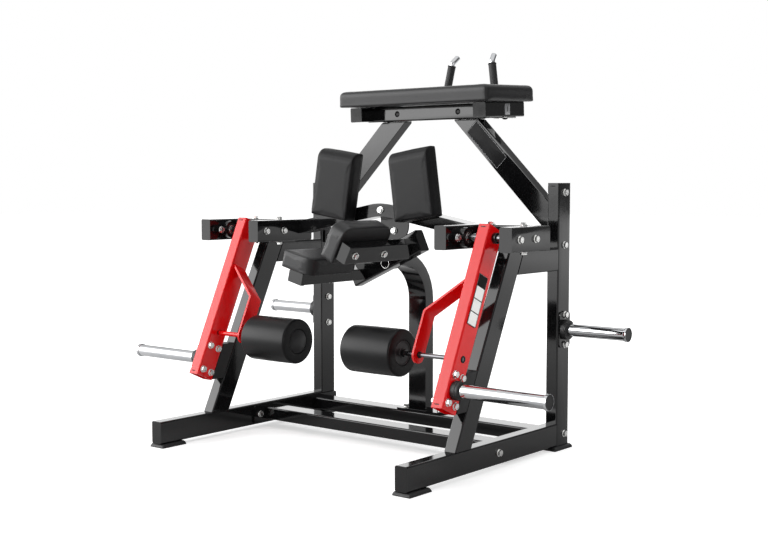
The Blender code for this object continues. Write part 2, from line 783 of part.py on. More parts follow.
# Pivot housings: two walls, the back tube with its base plate, four flanged bearings
for side, sign in (("L", -1), ("R", 1)):
    length = innerWallBack - housingFront
    inner, bore = hollow("pivot_inner_wall_" + side, (tubeWidth, length, tubeDepth), 1, "frame",
                         machine, (sign * innerWallX, housingFront + length / 2, pivotHeight), openLow=False)
    pairs = [pivotY - bearingBoltReach, pivotY + bearingBoltReach]
    face = sign * (wallInner - tubeWidth)
    bolts(inner, [(face, y, pivotHeight) for y in pairs], (-sign, 0.0, 0.0), machine)
    cut(inner, bore)
    length = outerWallBack - housingFront
    outer, bore = hollow("pivot_outer_wall_" + side, (tubeWidth, length, tubeDepth), 1, "frame",
                         machine, (sign * outerWallX, housingFront + length / 2, pivotHeight), openLow=False)
    face = sign * (outerWallX + tubeWidth / 2)
    bolts(outer, [(face, y, pivotHeight) for y in pairs], (sign, 0.0, 0.0), machine)
    cut(outer, bore)

    backY = outerWallBack - backTubeThickness / 2
    back, bore = hollow("pivot_back_tube_" + side,
                        (housingClear - 2 * gap, backTubeThickness, tubeDepth), 0, "frame", machine,
                        (sign * sideCentre, backY, pivotHeight))
    base = block("base_plate_" + side, (2 * basePlateHalf, basePlateLength,
                                        basePlateThickness + sink), None, machine,
                 (sign * sideCentre, backY + (basePlateLength - backTubeThickness) / 2 - 0.004,
                  housingBottom - (basePlateThickness - sink) / 2), along=2, radius=0.005)
    weld(back, base)
    spots = [sign * sideCentre - basePlateBoltReach, sign * sideCentre + basePlateBoltReach]
    bolts(back, [(x, backY, housingBottom + tubeDepth) for x in spots], (0.0, 0.0, 1.0), machine)
    bolts(back, [(x, backY, housingBottom - basePlateThickness) for x in spots], (0.0, 0.0, -1.0),
          machine)
    cut(back, bore)

    for wallName, way in (("inner", 1), ("outer", -1)):
        # way points from the wall towards the arm
        faceX = sign * (sideCentre - way * housingClear / 2)
        turn = (0.0, sign * way * math.radians(90), 0.0)
        seat = Vector((faceX + sign * way * gap, pivotY, pivotHeight))
        hub = cylinder("pivot_bearing_%s_%s" % (wallName, side), bearingHub, 0.0, bearingHubDepth,
                       "frame", machine, seat, turn)
        ear = plate("bearing_flange", arc(-bearingBoltReach, 0.0, bearingEar, 90, 270, 5)
                    + arc(bearingBoltReach, 0.0, bearingEar, -90, 90, 5), bearingFlange, None, machine,
                    seat + Vector((sign * way * bearingFlange / 2, 0.0, 0.0)), acrossX)
        weld(hub, ear)
        spots = [seat + Vector((sign * way * bearingFlange, reach, 0.0))
                 for reach in (-bearingBoltReach, bearingBoltReach)]
        bolts(hub, spots, (sign * way, 0.0, 0.0), machine)
        cut(hub, cylinder("bearing_bore", runningBore(shaftRadius), -0.01, 0.04, None, machine,
                          seat, turn, steps=runningSteps))

# Arms: everything below is built along an upright arm and leans with the pivot's empty
for side, sign in (("L", -1), ("R", 1)):
    pivot = empty("arm_axis_" + side, (sign * sideCentre, pivotY, pivotHeight),
                  (-armTilt, 0.0, 0.0), machine)
    outwards = (0.0, sign * math.radians(90), 0.0)
    half = tubeWidth / 2
    length = armAbove + armBelow
    arm, bore = hollow("arm_" + side, (tubeWidth, tubeDepth, length), 2, "arm", pivot,
                       (0.0, 0.0, armAbove - length / 2), openHigh=False)
    for way in (-1, 1):
        spots = [(way * half, u * armBoltAcross, -armHornDrop + v * armBoltAlong)
                 for u in (-1, 1) for v in (-1, 1)]
        bolts(arm, spots, (way, 0.0, 0.0), pivot)
    if sign > 0:
        card = block("placard", (placardThickness + sink, placardWidth, placardLength), None, pivot,
                     (half + (placardThickness - sink) / 2, placardAcross, -placardDrop), along=0,
                     radius=0.004)
        weld(arm, card)
    shaftHole = cylinder("shaft_hole", shaftRadius + gap, -half - 0.01, half + 0.01, None, pivot,
                         (0.0, 0.0, 0.0), outwards)
    axleHole = cylinder("axle_hole", axleRadius + gap, -half - 0.01, half + 0.01, None, pivot,
                        (0.0, 0.0, -rollerDrop), outwards, steps=20)
    cut(arm, bore, shaftHole, axleHole)

    reach = housingClear / 2 - 2 * gap
    turned("pivot_shaft_" + side,
           [(0.0, reach), (shaftRadius, reach), (shaftRadius, half + shaftCollarLength),
            (shaftCollarRadius, half + shaftCollarLength), (shaftCollarRadius, half + gap),
            (shaftRadius, half + gap), (shaftRadius, -reach), (0.0, -reach)],
           "steel", pivot, (0.0, 0.0, 0.0), outwards)
    collar = armCollarRadius
    turned("arm_horn_collar_" + side,
           [(collar - 0.004, armCollarLength), (collar, armCollarLength - 0.004), (collar, 0.0),
            (hornRadius + gap, 0.0), (hornRadius + gap, armCollarLength)],
           "plastic", pivot, (sign * (half + gap), 0.0, -armHornDrop), outwards, ring=True)
    horn("arm_horn_" + side, armHornTip - sideOuter, pivot, (sign * half, 0.0, -armHornDrop), sign)

    # flat bar: its bent side view met with its rounded front view
    inset = half + barInset
    barStart = rollerDrop - barLength
    barBend = rollerDrop - barBendRise
    bend = Vector((inset - half, barBend - barStart)).normalized()
    away = Vector((bend.y, -bend.x)) * barThickness
    kink = barThickness * math.tan(math.atan2(bend.x, bend.y) / 2)
    start = -half - gap
    tipDrop = rollerDrop + barHalfWidth
    sideView = [(start, -barStart), (-inset, -barBend), (-inset, -tipDrop - 0.01),
                (-inset - barThickness, -tipDrop - 0.01), (-inset - barThickness, -barBend + kink),
                (start, -barStart + barThickness / bend.x)]
    sideView = [(sign * x, z) for x, z in sideView]
    bar = plate("roller_bracket_" + side, sideView, 2 * barHalfWidth, "arm", pivot, (0.0, 0.0, 0.0),
                acrossY)
    frontView = arc(0.0, -rollerDrop, barHalfWidth + 0.0002, 180, 360, 12) + [
        (barHalfWidth + 0.0002, 0.0), (-barHalfWidth - 0.0002, 0.0)]
    mask = plate("bar_mask_" + side, frontView, 0.5, None, pivot, (0.0, 0.0, 0.0), acrossX)
    combine(bar, "INTERSECT", [mask])
    cut(bar, cylinder("bar_hole", axleRadius + gap, -0.3, 0.3, None, pivot, (0.0, 0.0, -rollerDrop),
                      outwards, steps=20))

    inEnd = -(sideCentre - rollerInner)
    turned("roller_axle_" + side,
           [(0.0, half + axleStub), (axleRadius, half + axleStub), (axleRadius, inEnd - gap),
            (axleHeadRadius, inEnd - gap), (axleHeadRadius, inEnd - axleHeadLength),
            (0.0, inEnd - axleHeadLength)],
           "steel", pivot, (0.0, 0.0, -rollerDrop), outwards, steps=20)

    halfRoller = (rollerOuter - rollerInner) / 2
    shoulder = halfRoller - rollerHubStep
    rounded = arc(rollerRadius - rollerEdge, shoulder - rollerEdge, rollerEdge, 90, 0, 3)
    bore = runningBore(axleRadius)
    profile = [(bore, halfRoller), (rollerHubRadius, halfRoller), (rollerHubRadius, shoulder)]
    profile += rounded + [(r, -h) for r, h in reversed(rounded)]
    profile += [(rollerHubRadius, -shoulder), (rollerHubRadius, -halfRoller), (bore, -halfRoller)]
    turned("roller_foam_" + side, profile, "foam", pivot,
           (-sign * (sideCentre - (rollerInner + rollerOuter) / 2), 0.0, -rollerDrop), outwards,
           ring=True, steps=runningSteps)

    # rubber stop between the slanted post and the resting arm
    stopBottom = pivotHeight - armBelow * math.cos(armTilt) - stopDrop
    stopZ = stopBottom + stopLength / 2 * math.cos(armTilt)
    armBackY = pivotY + (tubeDepth / 2 + gap) / math.cos(armTilt)

    def stopCorner(co):
        z = stopZ + co.z
        if co.y > 0:
            co.y = slantFront(z) - gap
        else:
            co.y = armBackY + (z - pivotHeight) * math.tan(armTilt)

    block("arm_stop_" + side, (tubeWidth, tubeDepth, stopLength * math.cos(armTilt)), "rubber",
          machine, (sign * sideCentre, 0.0, stopZ), shape=stopCorner, radius=0.003)

# Upper tubes, from the rear posts up to the top beam
rise = topBeamBottom - gap
for side, sign in (("L", -1), ("R", 1)):
    run = sideInner - gap
    lowerOuter = rise - (run - upperTopInner)
    width = tubeDepth * math.sqrt(2.0)
    outline = [(upperTopInner, rise), (run, lowerOuter), (run, lowerOuter + width),
               (upperTopInner + width, rise)]
    tube = plate("upper_tube_" + side, [(sign * x, z) for x, z in outline], tubeWidth, "frame",
                 machine, (0.0, upperFrontY + tubeWidth / 2, 0.0), acrossY)
    bevel(tube, 0.004, 1)
    inset = wall * math.sqrt(2.0)
    beyond = 0.02
    boreLine = [(upperTopInner + inset - beyond, rise + beyond),
                (run + beyond, lowerOuter + inset - beyond),
                (run + beyond, lowerOuter + width - inset - beyond),
                (upperTopInner + width - inset - beyond, rise + beyond)]
    bore = plate("upper_bore_" + side, [(sign * x, z) for x, z in boreLine], tubeWidth - 2 * wall,
                 None, machine, (0.0, upperFrontY + tubeWidth / 2, 0.0), acrossY)
    flange = block("upper_flange_" + side, (endPlateThickness, tubeWidth, upperPlateTop
                                            - upperPlateBottom), None, machine,
                   (sign * (run - endPlateThickness / 2), upperFrontY + tubeWidth / 2,
                    (upperPlateTop + upperPlateBottom) / 2), along=0, radius=0.004)
    weld(tube, flange)
    bolts(tube, [(sign * (run - endPlateThickness), upperFrontY + tubeWidth / 2, z)
                 for z in (upperPlateBottom + upperBoltInset, upperPlateTop - upperBoltInset)], (-sign, 0.0, 0.0), machine)
    if sign > 0:
        signZ = rise - (upperSignX - upperTopInner - width / 2)
        card = block("upper_sign", (upperSignLength, placardThickness + sink, upperSignWidth), None,
                     machine, (upperSignX, upperFrontY - (placardThickness - sink) / 2, signZ),
                     (0.0, math.radians(45), 0.0), along=1, radius=0.006)
        weld(tube, card)
    cut(tube, bore)

# Top frame: a cross beam between two rails that the chest pad lies on
beamCentreZ = topBeamBottom + topBeamSize / 2
beamMidY = topBeamFrontY + topBeamSize / 2
railMidY = (railFrontY + railBackY) / 2
railMidZ = topBeamBottom - railDrop + railHalf + (railMidY - railFrontY) * math.tan(railTilt)
railRun = (railBackY - railFrontY) / math.cos(railTilt)
topFrame, topBore = hollow("top_frame", (2 * railCentre, topBeamSize, topBeamSize), 0, "frame",
                           machine, (0.0, beamMidY, beamCentreZ))
railBores = []
for sign in (-1, 1):
    rail = block("top_rail", (2 * railHalf, railRun, 2 * railHalf), None, machine,
                 (sign * railCentre, railMidY, railMidZ), (railTilt, 0.0, 0.0), along=1, radius=0.005)
    weld(topFrame, rail)
    railBores.append(block("top_rail_bore", (2 * (railHalf - wall), railRun, 2 * (railHalf - wall)),
                           None, machine,
                           (sign * railCentre, railMidY + wall, railMidZ), (railTilt, 0.0, 0.0)))
    cut(topFrame, cylinder("recess", recessRadius, -recessDepth, 0.01, None, machine,
                           (sign * recessOffset, topBeamFrontY, beamCentreZ), acrossY, steps=20))
cut(topFrame, topBore, *railBores)

padTilt = railTilt
padLength = (chestPadBack - chestPadFront) / math.cos(padTilt)
padMidY = (chestPadBack + chestPadFront) / 2
railTopAt = railMidZ + railHalf / math.cos(railTilt) + (padMidY - railMidY) * math.tan(railTilt)
cushion("chest_pad", (2 * chestPadHalf, padLength, chestPadThickness), 0.018, 0.003, 0.002, machine,
        (0.0, padMidY - math.sin(padTilt) * chestPadThickness / 2,
         railTopAt + gap + chestPadThickness / 2 * math.cos(padTilt)), (padTilt, 0.0, 0.0))


def filleted(corners, radii, count=6):
    # a route through the corners with each inner one rounded
    route = [Vector(corners[0])]
    for before, corner, after, radius in zip(corners, corners[1:], corners[2:], radii):
        corner = Vector(corner)
        back = (Vector(before) - corner).normalized()
        ahead = (Vector(after) - corner).normalized()
        opening = back.angle(ahead)
        reach = radius / math.tan(opening / 2)
        centre = corner + (back + ahead).normalized() * radius / math.sin(opening / 2)
        start = (corner + back * reach - centre).normalized()
        end = (corner + ahead * reach - centre).normalized()
        for i in range(count + 1):
            route.append(centre + start.slerp(end, i / count) * radius)
    route.append(Vector(corners[-1]))
    return route


# Handles rise behind the chest pad from the back of the top beam
beamBackY = topBeamFrontY + topBeamSize
for side, sign in (("L", -1), ("R", 1)):
    corners = [(sign * handleX, beamBackY + gap, beamCentreZ),
               (sign * handleX, handleRiseY, beamCentreZ),
               (sign * handleX, handleRiseY + handleLean, beamCentreZ + handleNeckRise),
               (sign * handleTopX, handleTopY, beamCentreZ + handleTopRise),
               (sign * handleTipX, handleTipY, beamCentreZ + handleTipRise)]
    route = filleted(corners, handleBends)
    rod("handle_" + side, route, handleRadius, "steel", machine)
    gripLow = beamCentreZ + gripBottomRise
    gripHigh = beamCentreZ + handleTopRise - gripTopDrop
    shift = handleLean * gripBottomRise / handleNeckRise
    gripRoute = [Vector((sign * handleX, handleRiseY + shift, gripLow))]
    gripRoute += [point for point in route if gripLow < point.z < gripHigh]
    grip = rod("handle_grip_" + side, gripRoute, gripRadius, "rubber", machine)
    core = rod("grip_core_" + side, route, handleRadius + gap, None, machine)
    cut(grip, core)

# The origin sits on the floor under the middle of the machine
bpy.context.view_layer.update()
graph = bpy.context.evaluated_depsgraph_get()
reachY = []
for ob in parts.objects:
    if ob.type == "MESH":
        shown = ob.evaluated_get(graph)
        reachY += [(ob.matrix_world @ vert.co).y for vert in shown.data.vertices]
machine.location.y = -(min(reachY) + max(reachY)) / 2
for ob in parts.objects:
    if ob.type == "MESH":
        ob.data.set_sharp_from_angle(angle=math.radians(35))
print("origin shift along Y", round(machine.location.y, 5))
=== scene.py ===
# Looks of the kneeling leg curl: gloss painted steel tubes, red swinging arms, chrome sleeves,
# vinyl cushions and foam rollers. Metres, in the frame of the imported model.
import math

import bmesh
import bpy
import numpy as np
from mathutils import Euler, Matrix, Vector
from mathutils.bvhtree import BVHTree


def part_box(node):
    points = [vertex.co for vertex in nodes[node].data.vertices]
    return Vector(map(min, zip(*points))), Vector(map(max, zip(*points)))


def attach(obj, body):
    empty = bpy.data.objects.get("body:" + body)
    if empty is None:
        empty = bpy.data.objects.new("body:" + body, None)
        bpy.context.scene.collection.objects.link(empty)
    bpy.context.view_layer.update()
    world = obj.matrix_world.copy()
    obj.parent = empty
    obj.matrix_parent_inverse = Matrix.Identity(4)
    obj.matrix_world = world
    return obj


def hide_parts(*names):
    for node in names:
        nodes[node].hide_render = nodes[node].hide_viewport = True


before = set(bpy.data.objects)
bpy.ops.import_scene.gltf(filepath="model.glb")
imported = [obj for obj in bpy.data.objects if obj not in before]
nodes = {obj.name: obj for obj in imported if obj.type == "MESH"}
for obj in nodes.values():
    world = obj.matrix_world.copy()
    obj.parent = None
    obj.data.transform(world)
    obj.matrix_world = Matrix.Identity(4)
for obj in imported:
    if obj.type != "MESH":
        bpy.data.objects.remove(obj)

scene = bpy.context.scene
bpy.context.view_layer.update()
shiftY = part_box("rear_post_L")[0].y  # the machine's own Y starts at the rear posts' front faces
sides = (("L", -1, "arm_left"), ("R", 1, "arm_right"))
print("frame loaded,", len(nodes), "nodes")


def linear(hexColour):
    # sRGB hex to linear: below 0.04045 divided by 12.92, above it ((c + 0.055) / 1.055) to the 2.4
    parts = [int(hexColour[i:i + 2], 16) / 255 for i in (1, 3, 5)]
    return (*[c / 12.92 if c <= 0.04045 else ((c + 0.055) / 1.055) ** 2.4 for c in parts], 1.0)


def connect(node, links):
    # a link comes from a socket, or from a node's first output
    for name, source in links.items():
        node.id_data.links.new(getattr(source, "outputs", [source])[0], node.inputs[name])


def addNode(tree, kind, settings=None, links=None):
    # a setting goes to the node's property of that name, or else to its socket
    made = tree.nodes.new(kind)
    chosen = dict(settings or {})
    for name in [n for n in chosen if isinstance(n, str) and hasattr(made, n)]:
        setattr(made, name, chosen.pop(name))
    for name, value in chosen.items():
        made.inputs[name].default_value = value
    connect(made, links or {})
    return made


def newMaterial(name, sockets):
    # a material with these values on its shader's own sockets, and its Object coordinates
    mat = bpy.data.materials.new(name)
    mat.use_nodes = True
    shader = mat.node_tree.nodes["Principled BSDF"]
    for key, value in sockets.items():
        shader.inputs[key].default_value = value
    place = addNode(mat.node_tree, "ShaderNodeTexCoord").outputs["Object"]
    return mat, mat.node_tree, shader, place


def dress(tree, shader, colours, mask, rough, bump=None):
    # a finish: its colour goes from the first to the second as the mask goes from 0 to 1
    tint = addNode(tree, "ShaderNodeMix", {"data_type": "RGBA", 6: linear(colours[0]),
                                           7: linear(colours[1])}, {0: mask})
    connect(shader, {"Base Color": tint.outputs[2], "Roughness": rough,
                     **({"Normal": bump} if bump else {})})


def lightPaths(tree):
    # whether gloss looks here, and 1 where the camera does, straight or through glass
    seen = addNode(tree, "ShaderNodeLightPath").outputs
    return seen["Is Glossy Ray"], addNode(tree, "ShaderNodeMath", {"operation": "MAXIMUM"}, {
        0: seen["Is Camera Ray"], 1: seen["Is Transmission Ray"]})


def paintMaterial(name, colour, worn, rough, level=0.5):
    # gloss powder coat on steel: baked polyester, a near mirror skin over a flat colour, with a
    # slow orange peel (real waves 3 mm, drawn 14 mm so that they show) and faint handling marks
    mat, tree, shader, place = newMaterial(name, {"IOR": 1.5, "Specular IOR Level": level})
    peel = addNode(tree, "ShaderNodeTexNoise", {"Scale": 70.0, "Detail": 2.0}, {"Vector": place})
    marks = addNode(tree, "ShaderNodeTexNoise", {"Scale": 9.0, "Detail": 5.0, "Roughness": 0.65},
                    {"Vector": place})
    fine = addNode(tree, "ShaderNodeTexNoise", {"Scale": 420.0, "Detail": 1.0}, {"Vector": place})
    faint = addNode(tree, "ShaderNodeMapRange", {1: 0.52, 2: 0.75}, {0: marks})
    waves = addNode(tree, "ShaderNodeBump", {"Strength": 0.03, "Distance": 0.001}, {"Height": peel})
    skin = addNode(tree, "ShaderNodeBump", {"Strength": 0.02, "Distance": 0.0004},
                   {"Height": fine, "Normal": waves})
    soft = addNode(tree, "ShaderNodeMapRange", {1: 0.3, 2: 0.75, 3: rough * 0.7, 4: rough * 1.7},
                   {0: marks})
    dress(tree, shader, (colour, worn), faint, soft, skin)
    return mat


def metalMaterial(name, colour, stained, low, high, stretch=(1.0, 1.0, 1.0), depth=0.0):
    # bare or plated metal: the colour tints the reflection, roughness wanders with polishing lines
    # (real 0.2 mm, drawn 2 mm) and a faint stain clouds it
    mat, tree, shader, place = newMaterial(name, {"Metallic": 1.0})
    spread = addNode(tree, "ShaderNodeMapping", {"Scale": stretch}, {"Vector": place})
    lines = addNode(tree, "ShaderNodeTexNoise", {"Scale": 60.0, "Detail": 4.0, "Roughness": 0.6},
                    {"Vector": spread})
    cloud = addNode(tree, "ShaderNodeTexNoise", {"Scale": 14.0, "Detail": 3.0}, {"Vector": place})
    blot = addNode(tree, "ShaderNodeMapRange", {1: 0.45, 2: 0.8}, {0: cloud})
    rough = addNode(tree, "ShaderNodeMapRange", {1: 0.25, 2: 0.75, 3: low, 4: high}, {0: lines})
    ridges = addNode(tree, "ShaderNodeBump", {"Strength": depth, "Distance": 0.0003},
                     {"Height": lines}) if depth else None
    dress(tree, shader, (colour, stained), blot, rough, ridges)
    return mat


def vinylMaterial(name, colour, light, rough, level, grain=420.0):
    # embossed PVC upholstery: pebbles of a leather print (real 1 mm, drawn 2.4 mm), creases between
    # them a little glossier, colour a touch lighter where hands and knees rub
    mat, tree, shader, place = newMaterial(name, {"IOR": 1.5, "Specular IOR Level": level,
                                                  "Sheen Weight": 0.02, "Sheen Roughness": 0.4})
    warp = addNode(tree, "ShaderNodeTexNoise", {"Scale": 90.0, "Detail": 2.0}, {"Vector": place})
    bent = addNode(tree, "ShaderNodeMix", {"data_type": "VECTOR", 0: 0.012},
                   {4: place, 5: warp.outputs["Color"]})
    cells = addNode(tree, "ShaderNodeTexVoronoi", {"feature": "DISTANCE_TO_EDGE", "Scale": grain},
                    {"Vector": bent.outputs[1]})
    pebble = addNode(tree, "ShaderNodeMapRange", {1: 0.0, 2: 0.35}, {0: cells})
    rub = addNode(tree, "ShaderNodeTexNoise", {"Scale": 7.0, "Detail": 4.0, "Roughness": 0.6},
                  {"Vector": place})
    worn = addNode(tree, "ShaderNodeMapRange", {1: 0.4, 2: 0.8}, {0: rub})
    emboss = addNode(tree, "ShaderNodeBump", {"Strength": 0.16, "Distance": 0.0006},
                     {"Height": pebble})
    dress(tree, shader, (colour, light), worn, addNode(tree, "ShaderNodeMapRange", {
        3: rough, 4: rough + 0.08}, {0: worn}), emboss)
    return mat


def mouldedMaterial(name, colour, light, rough, grain, depth, level=0.5):
    # moulded rubber or plastic: fine spark-eroded grain, slightly greyer where it is scuffed
    mat, tree, shader, place = newMaterial(name, {"IOR": 1.5, "Specular IOR Level": level})
    speck = addNode(tree, "ShaderNodeTexNoise", {"Scale": grain, "Detail": 3.0}, {"Vector": place})
    scuff = addNode(tree, "ShaderNodeTexNoise", {"Scale": 22.0, "Detail": 5.0, "Roughness": 0.7},
                    {"Vector": place})
    worn = addNode(tree, "ShaderNodeMapRange", {1: 0.5, 2: 0.8}, {0: scuff})
    pits = addNode(tree, "ShaderNodeBump", {"Strength": depth, "Distance": 0.0005},
                   {"Height": speck})
    dress(tree, shader, (colour, light), worn, addNode(tree, "ShaderNodeMapRange", {
        3: rough, 4: rough + 0.12}, {0: worn}), pits)
    return mat


blackPaint = paintMaterial("gloss_black_powder_coat", "#0f0f10", "#141415", 0.07)
redPaint = paintMaterial("gloss_red_powder_coat", "#e00d10", "#d81014", 0.10, 0.42)
castPaint = paintMaterial("enamelled_cast_iron", "#0c0c0d", "#141415", 0.16)
# hard chrome over ground tube: bright, faintly cool, with lines drawn round the sleeve
chrome = metalMaterial("hard_chrome_plate", "#c9cacc", "#bdbfc2", 0.05, 0.10,
                       (0.15, 1.0, 1.0), 0.02)
# the same plating on bent tube, its lines drawn along the uprights
chromeTube = metalMaterial("chrome_plated_tube", "#c9cacc", "#bdbfc2", 0.05, 0.10,
                           (1.0, 1.0, 0.2), 0.02)
# bright zinc plate on bolts: a little duller than chrome
zinc = metalMaterial("bright_zinc_plate", "#f0f0ee", "#dcdddd", 0.16, 0.30)
# dull zinc plate on the pressed clamp, matt
dullZinc = metalMaterial("dull_zinc_plate", "#b9babb", "#a7a8aa", 0.34, 0.5)
# ground steel bar: grey, turned lines round it
steel = metalMaterial("ground_steel_bar", "#6f6e71", "#5d5c5f", 0.14, 0.22,
                      (6.0, 1.0, 1.0), 0.02)
vinyl = vinylMaterial("embossed_black_vinyl", "#161617", "#1c1c1d", 0.36, 0.36)
# the thigh pads' vinyl is matter, and the rollers' skin smoother
mattVinyl = vinylMaterial("matt_embossed_vinyl", "#0e0e0f", "#131314", 0.42, 0.18)
rollerVinyl = vinylMaterial("roller_skin_vinyl", "#0b0b0c", "#101011", 0.30, 0.20, 380.0)
rubber = mouldedMaterial("moulded_rubber", "#151516", "#1f1f20", 0.50, 700.0, 0.12)
# grip sleeve of soft rubber, matter than the feet
gripRubber = mouldedMaterial("matt_grip_rubber", "#101011", "#18181a", 0.62, 520.0, 0.25)
plastic = mouldedMaterial("moulded_nylon", "#101011", "#161617", 0.34, 900.0, 0.06, 0.25)
# the same, greyer, in the rollers' ends
hubPlastic = mouldedMaterial("moulded_nylon_hub", "#202021", "#29292a", 0.34, 700.0, 0.05, 0.4)
# printed films under a matt laminate
whiteFilm = mouldedMaterial("white_label_film", "#fbfaf8", "#f3f2f0", 0.32, 500.0, 0.02)
blackFilm = mouldedMaterial("black_label_film", "#070708", "#0b0b0c", 0.45, 500.0, 0.02, 0.12)
greyFilm = mouldedMaterial("silver_printed_film", "#9b9b9d", "#8e8e90", 0.3, 500.0, 0.02)
# painted shade: a flat black sheet stands for the dark inside a drain slot
slotShade = mouldedMaterial("unlit_slot_inside", "#050505", "#070707", 0.7, 300.0, 0.02)
print("materials made")


weld = {"merge": 0.000002, "sliver": 0.0000005}


def cleaned(mesh, slivers=False):
    # doubles merged, slivers dissolved and normals turned outwards
    bm = bmesh.new()
    bm.from_mesh(mesh)
    bmesh.ops.remove_doubles(bm, verts=bm.verts, dist=weld["merge"])
    if slivers:
        bmesh.ops.dissolve_degenerate(bm, edges=bm.edges, dist=weld["sliver"])
    bmesh.ops.recalc_face_normals(bm, faces=bm.faces)
    bm.to_mesh(mesh)
    bm.free()


def finishMesh(name, mesh, mat, body, sharp=38.0):
    # a clean mesh, smooth but for edges past the sharp angle, riding on its body
    cleaned(mesh, True)
    mesh.shade_smooth()
    mesh.set_sharp_from_angle(angle=math.radians(sharp))
    ob = bpy.data.objects.new(name, mesh)
    scene.collection.objects.link(ob)
    mesh.materials.append(mat)
    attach(ob, body)
    return ob


def gridFaces(rows, columns, start):
    # a quad between neighbours (i, j), (i, j + 1), (i + 1, j + 1), (i + 1, j), closed along j
    i, j = np.meshgrid(np.arange(rows - 1), np.arange(columns), indexing="ij")
    k = (j + 1) % columns
    quads = np.stack([i * columns + j, i * columns + k, (i + 1) * columns + k,
                      (i + 1) * columns + j], axis=-1)
    return quads.reshape(-1, 4) + start


def meshFrom(name, grids):
    # grids of shape (rows, columns, 3), each closed along its columns
    verts, faces, count = [], [], 0
    for grid in grids:
        rows, columns = grid.shape[:2]
        faces.append(gridFaces(rows, columns, count))
        verts.append(grid.reshape(-1, 3))
        count += rows * columns
    mesh = bpy.data.meshes.new(name)
    mesh.from_pydata(np.concatenate(verts).tolist(), [], np.concatenate(faces).tolist())
    return mesh


def filleted(points, radii, count=5):
    # a polyline with each inner corner rounded by an arc tangent to both sides
    points = [np.asarray(p, float) for p in points]
    out = [points[0]]
    for before, corner, after, radius in zip(points, points[1:], points[2:], radii):
        back, ahead = before - corner, after - corner
        back, ahead = back / np.linalg.norm(back), ahead / np.linalg.norm(ahead)
        half = math.acos(max(-1.0, min(1.0, float(back @ ahead)))) / 2
        if radius <= 0 or half > 1.55:
            out.append(corner)
            continue
        middle = (back + ahead) / np.linalg.norm(back + ahead)
        centre = corner + middle * radius / math.sin(half)
        side = back * math.cos(half) / math.sin(half) * radius + corner - centre
        other = ahead * math.cos(half) / math.sin(half) * radius + corner - centre
        turn = math.pi - 2 * half
        t = np.linspace(0.0, 1.0, count + 1)[:, None]
        out += list(centre + (np.sin((1 - t) * turn) * side + np.sin(t * turn) * other)
                    / math.sin(turn))
    out.append(points[-1])
    return np.array(out)


def looped(profile):
    # a closed profile: the first point again at its end
    return np.vstack([profile, profile[:1]])


def ringGrid(profile, steps, at=(0.0, 0.0, 0.0), axis="X"):
    # a surface of revolution: (along, r cos a, r sin a) for each profile point (r, along)
    a = np.linspace(0.0, 2 * math.pi, steps, endpoint=False)
    r, along = np.asarray(profile, float).T
    u = r[:, None] * np.cos(a)
    v = r[:, None] * np.sin(a)
    w = np.repeat(along[:, None], steps, axis=1)
    order = {"X": (w, u, v), "Y": (v, w, u), "Z": (u, v, w)}[axis]
    return np.stack(order, axis=-1) + np.asarray(at, float)


def turned(name, profiles, mat, body, steps, at):
    # pieces turned about one line along X, joined in one mesh
    grids = [ringGrid(profile, steps, at) for profile in profiles]
    return finishMesh(name, meshFrom(name, grids), mat, body)


def ends(node, sign):
    # inner and outer end along X of a node on this side, and the line its round pieces turn about
    low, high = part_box(node)
    inner, outer = (low.x, high.x) if sign > 0 else (high.x, low.x)
    return inner, outer, (0.0, (low.y + high.y) / 2, (low.z + high.z) / 2)


def stations(route, spots):
    # points of the polyline at these distances along it
    gone = np.concatenate([[0.0], np.cumsum(np.linalg.norm(np.diff(route, axis=0), axis=1))])
    spots = np.asarray(spots, float) * gone[-1]
    return np.stack([np.interp(spots, gone, route[:, i]) for i in range(3)], axis=-1)


def pipeGrid(route, radius, steps, across=(1.0, 0.0, 0.0), closed=False):
    # a circle carried along the route: centre + radius (n cos a + b sin a), closed by its two poles
    # or by its first circle again
    route = np.asarray(route, float)
    run = np.roll(route, -1, 0) - np.roll(route, 1, 0) if closed else np.gradient(route, axis=0)
    run /= np.linalg.norm(run, axis=1)[:, None]
    side = np.cross(run, across)
    side /= np.linalg.norm(side, axis=1)[:, None]
    other = np.cross(run, side)
    a = np.linspace(0.0, 2 * math.pi, steps, endpoint=False)[None, :, None]
    radius = np.broadcast_to(np.asarray(radius, float).reshape(-1, 1, 1), (len(route), 1, 1))
    grid = route[:, None] + radius * (side[:, None] * np.cos(a) + other[:, None] * np.sin(a))
    poles = [np.broadcast_to(route[i], (1, steps, 3)) for i in (0, -1)]
    return np.concatenate([grid, grid[:1]] if closed else [poles[0], grid, poles[1]])


def roundedOutline(halfX, halfY, radii, count=7, run=6):
    # a rectangle with its own radius at each corner, counter-clockwise from the right top
    points = []
    signs = ((1, 1, 0), (-1, 1, 90), (-1, -1, 180), (1, -1, 270))
    for (sx, sy, begin), radius in zip(signs, radii):
        a = np.radians(begin + np.linspace(0.0, 90.0, count))
        points.append(np.stack([sx * (halfX - radius) + radius * np.cos(a),
                                sy * (halfY - radius) + radius * np.sin(a)], axis=-1))
    out = []
    for here, there in zip(points, points[1:] + points[:1]):
        t = np.linspace(0.0, 1.0, run + 2)[1:-1, None]
        out += [here, here[-1] * (1 - t) + there[0] * t]
    return np.concatenate(out)


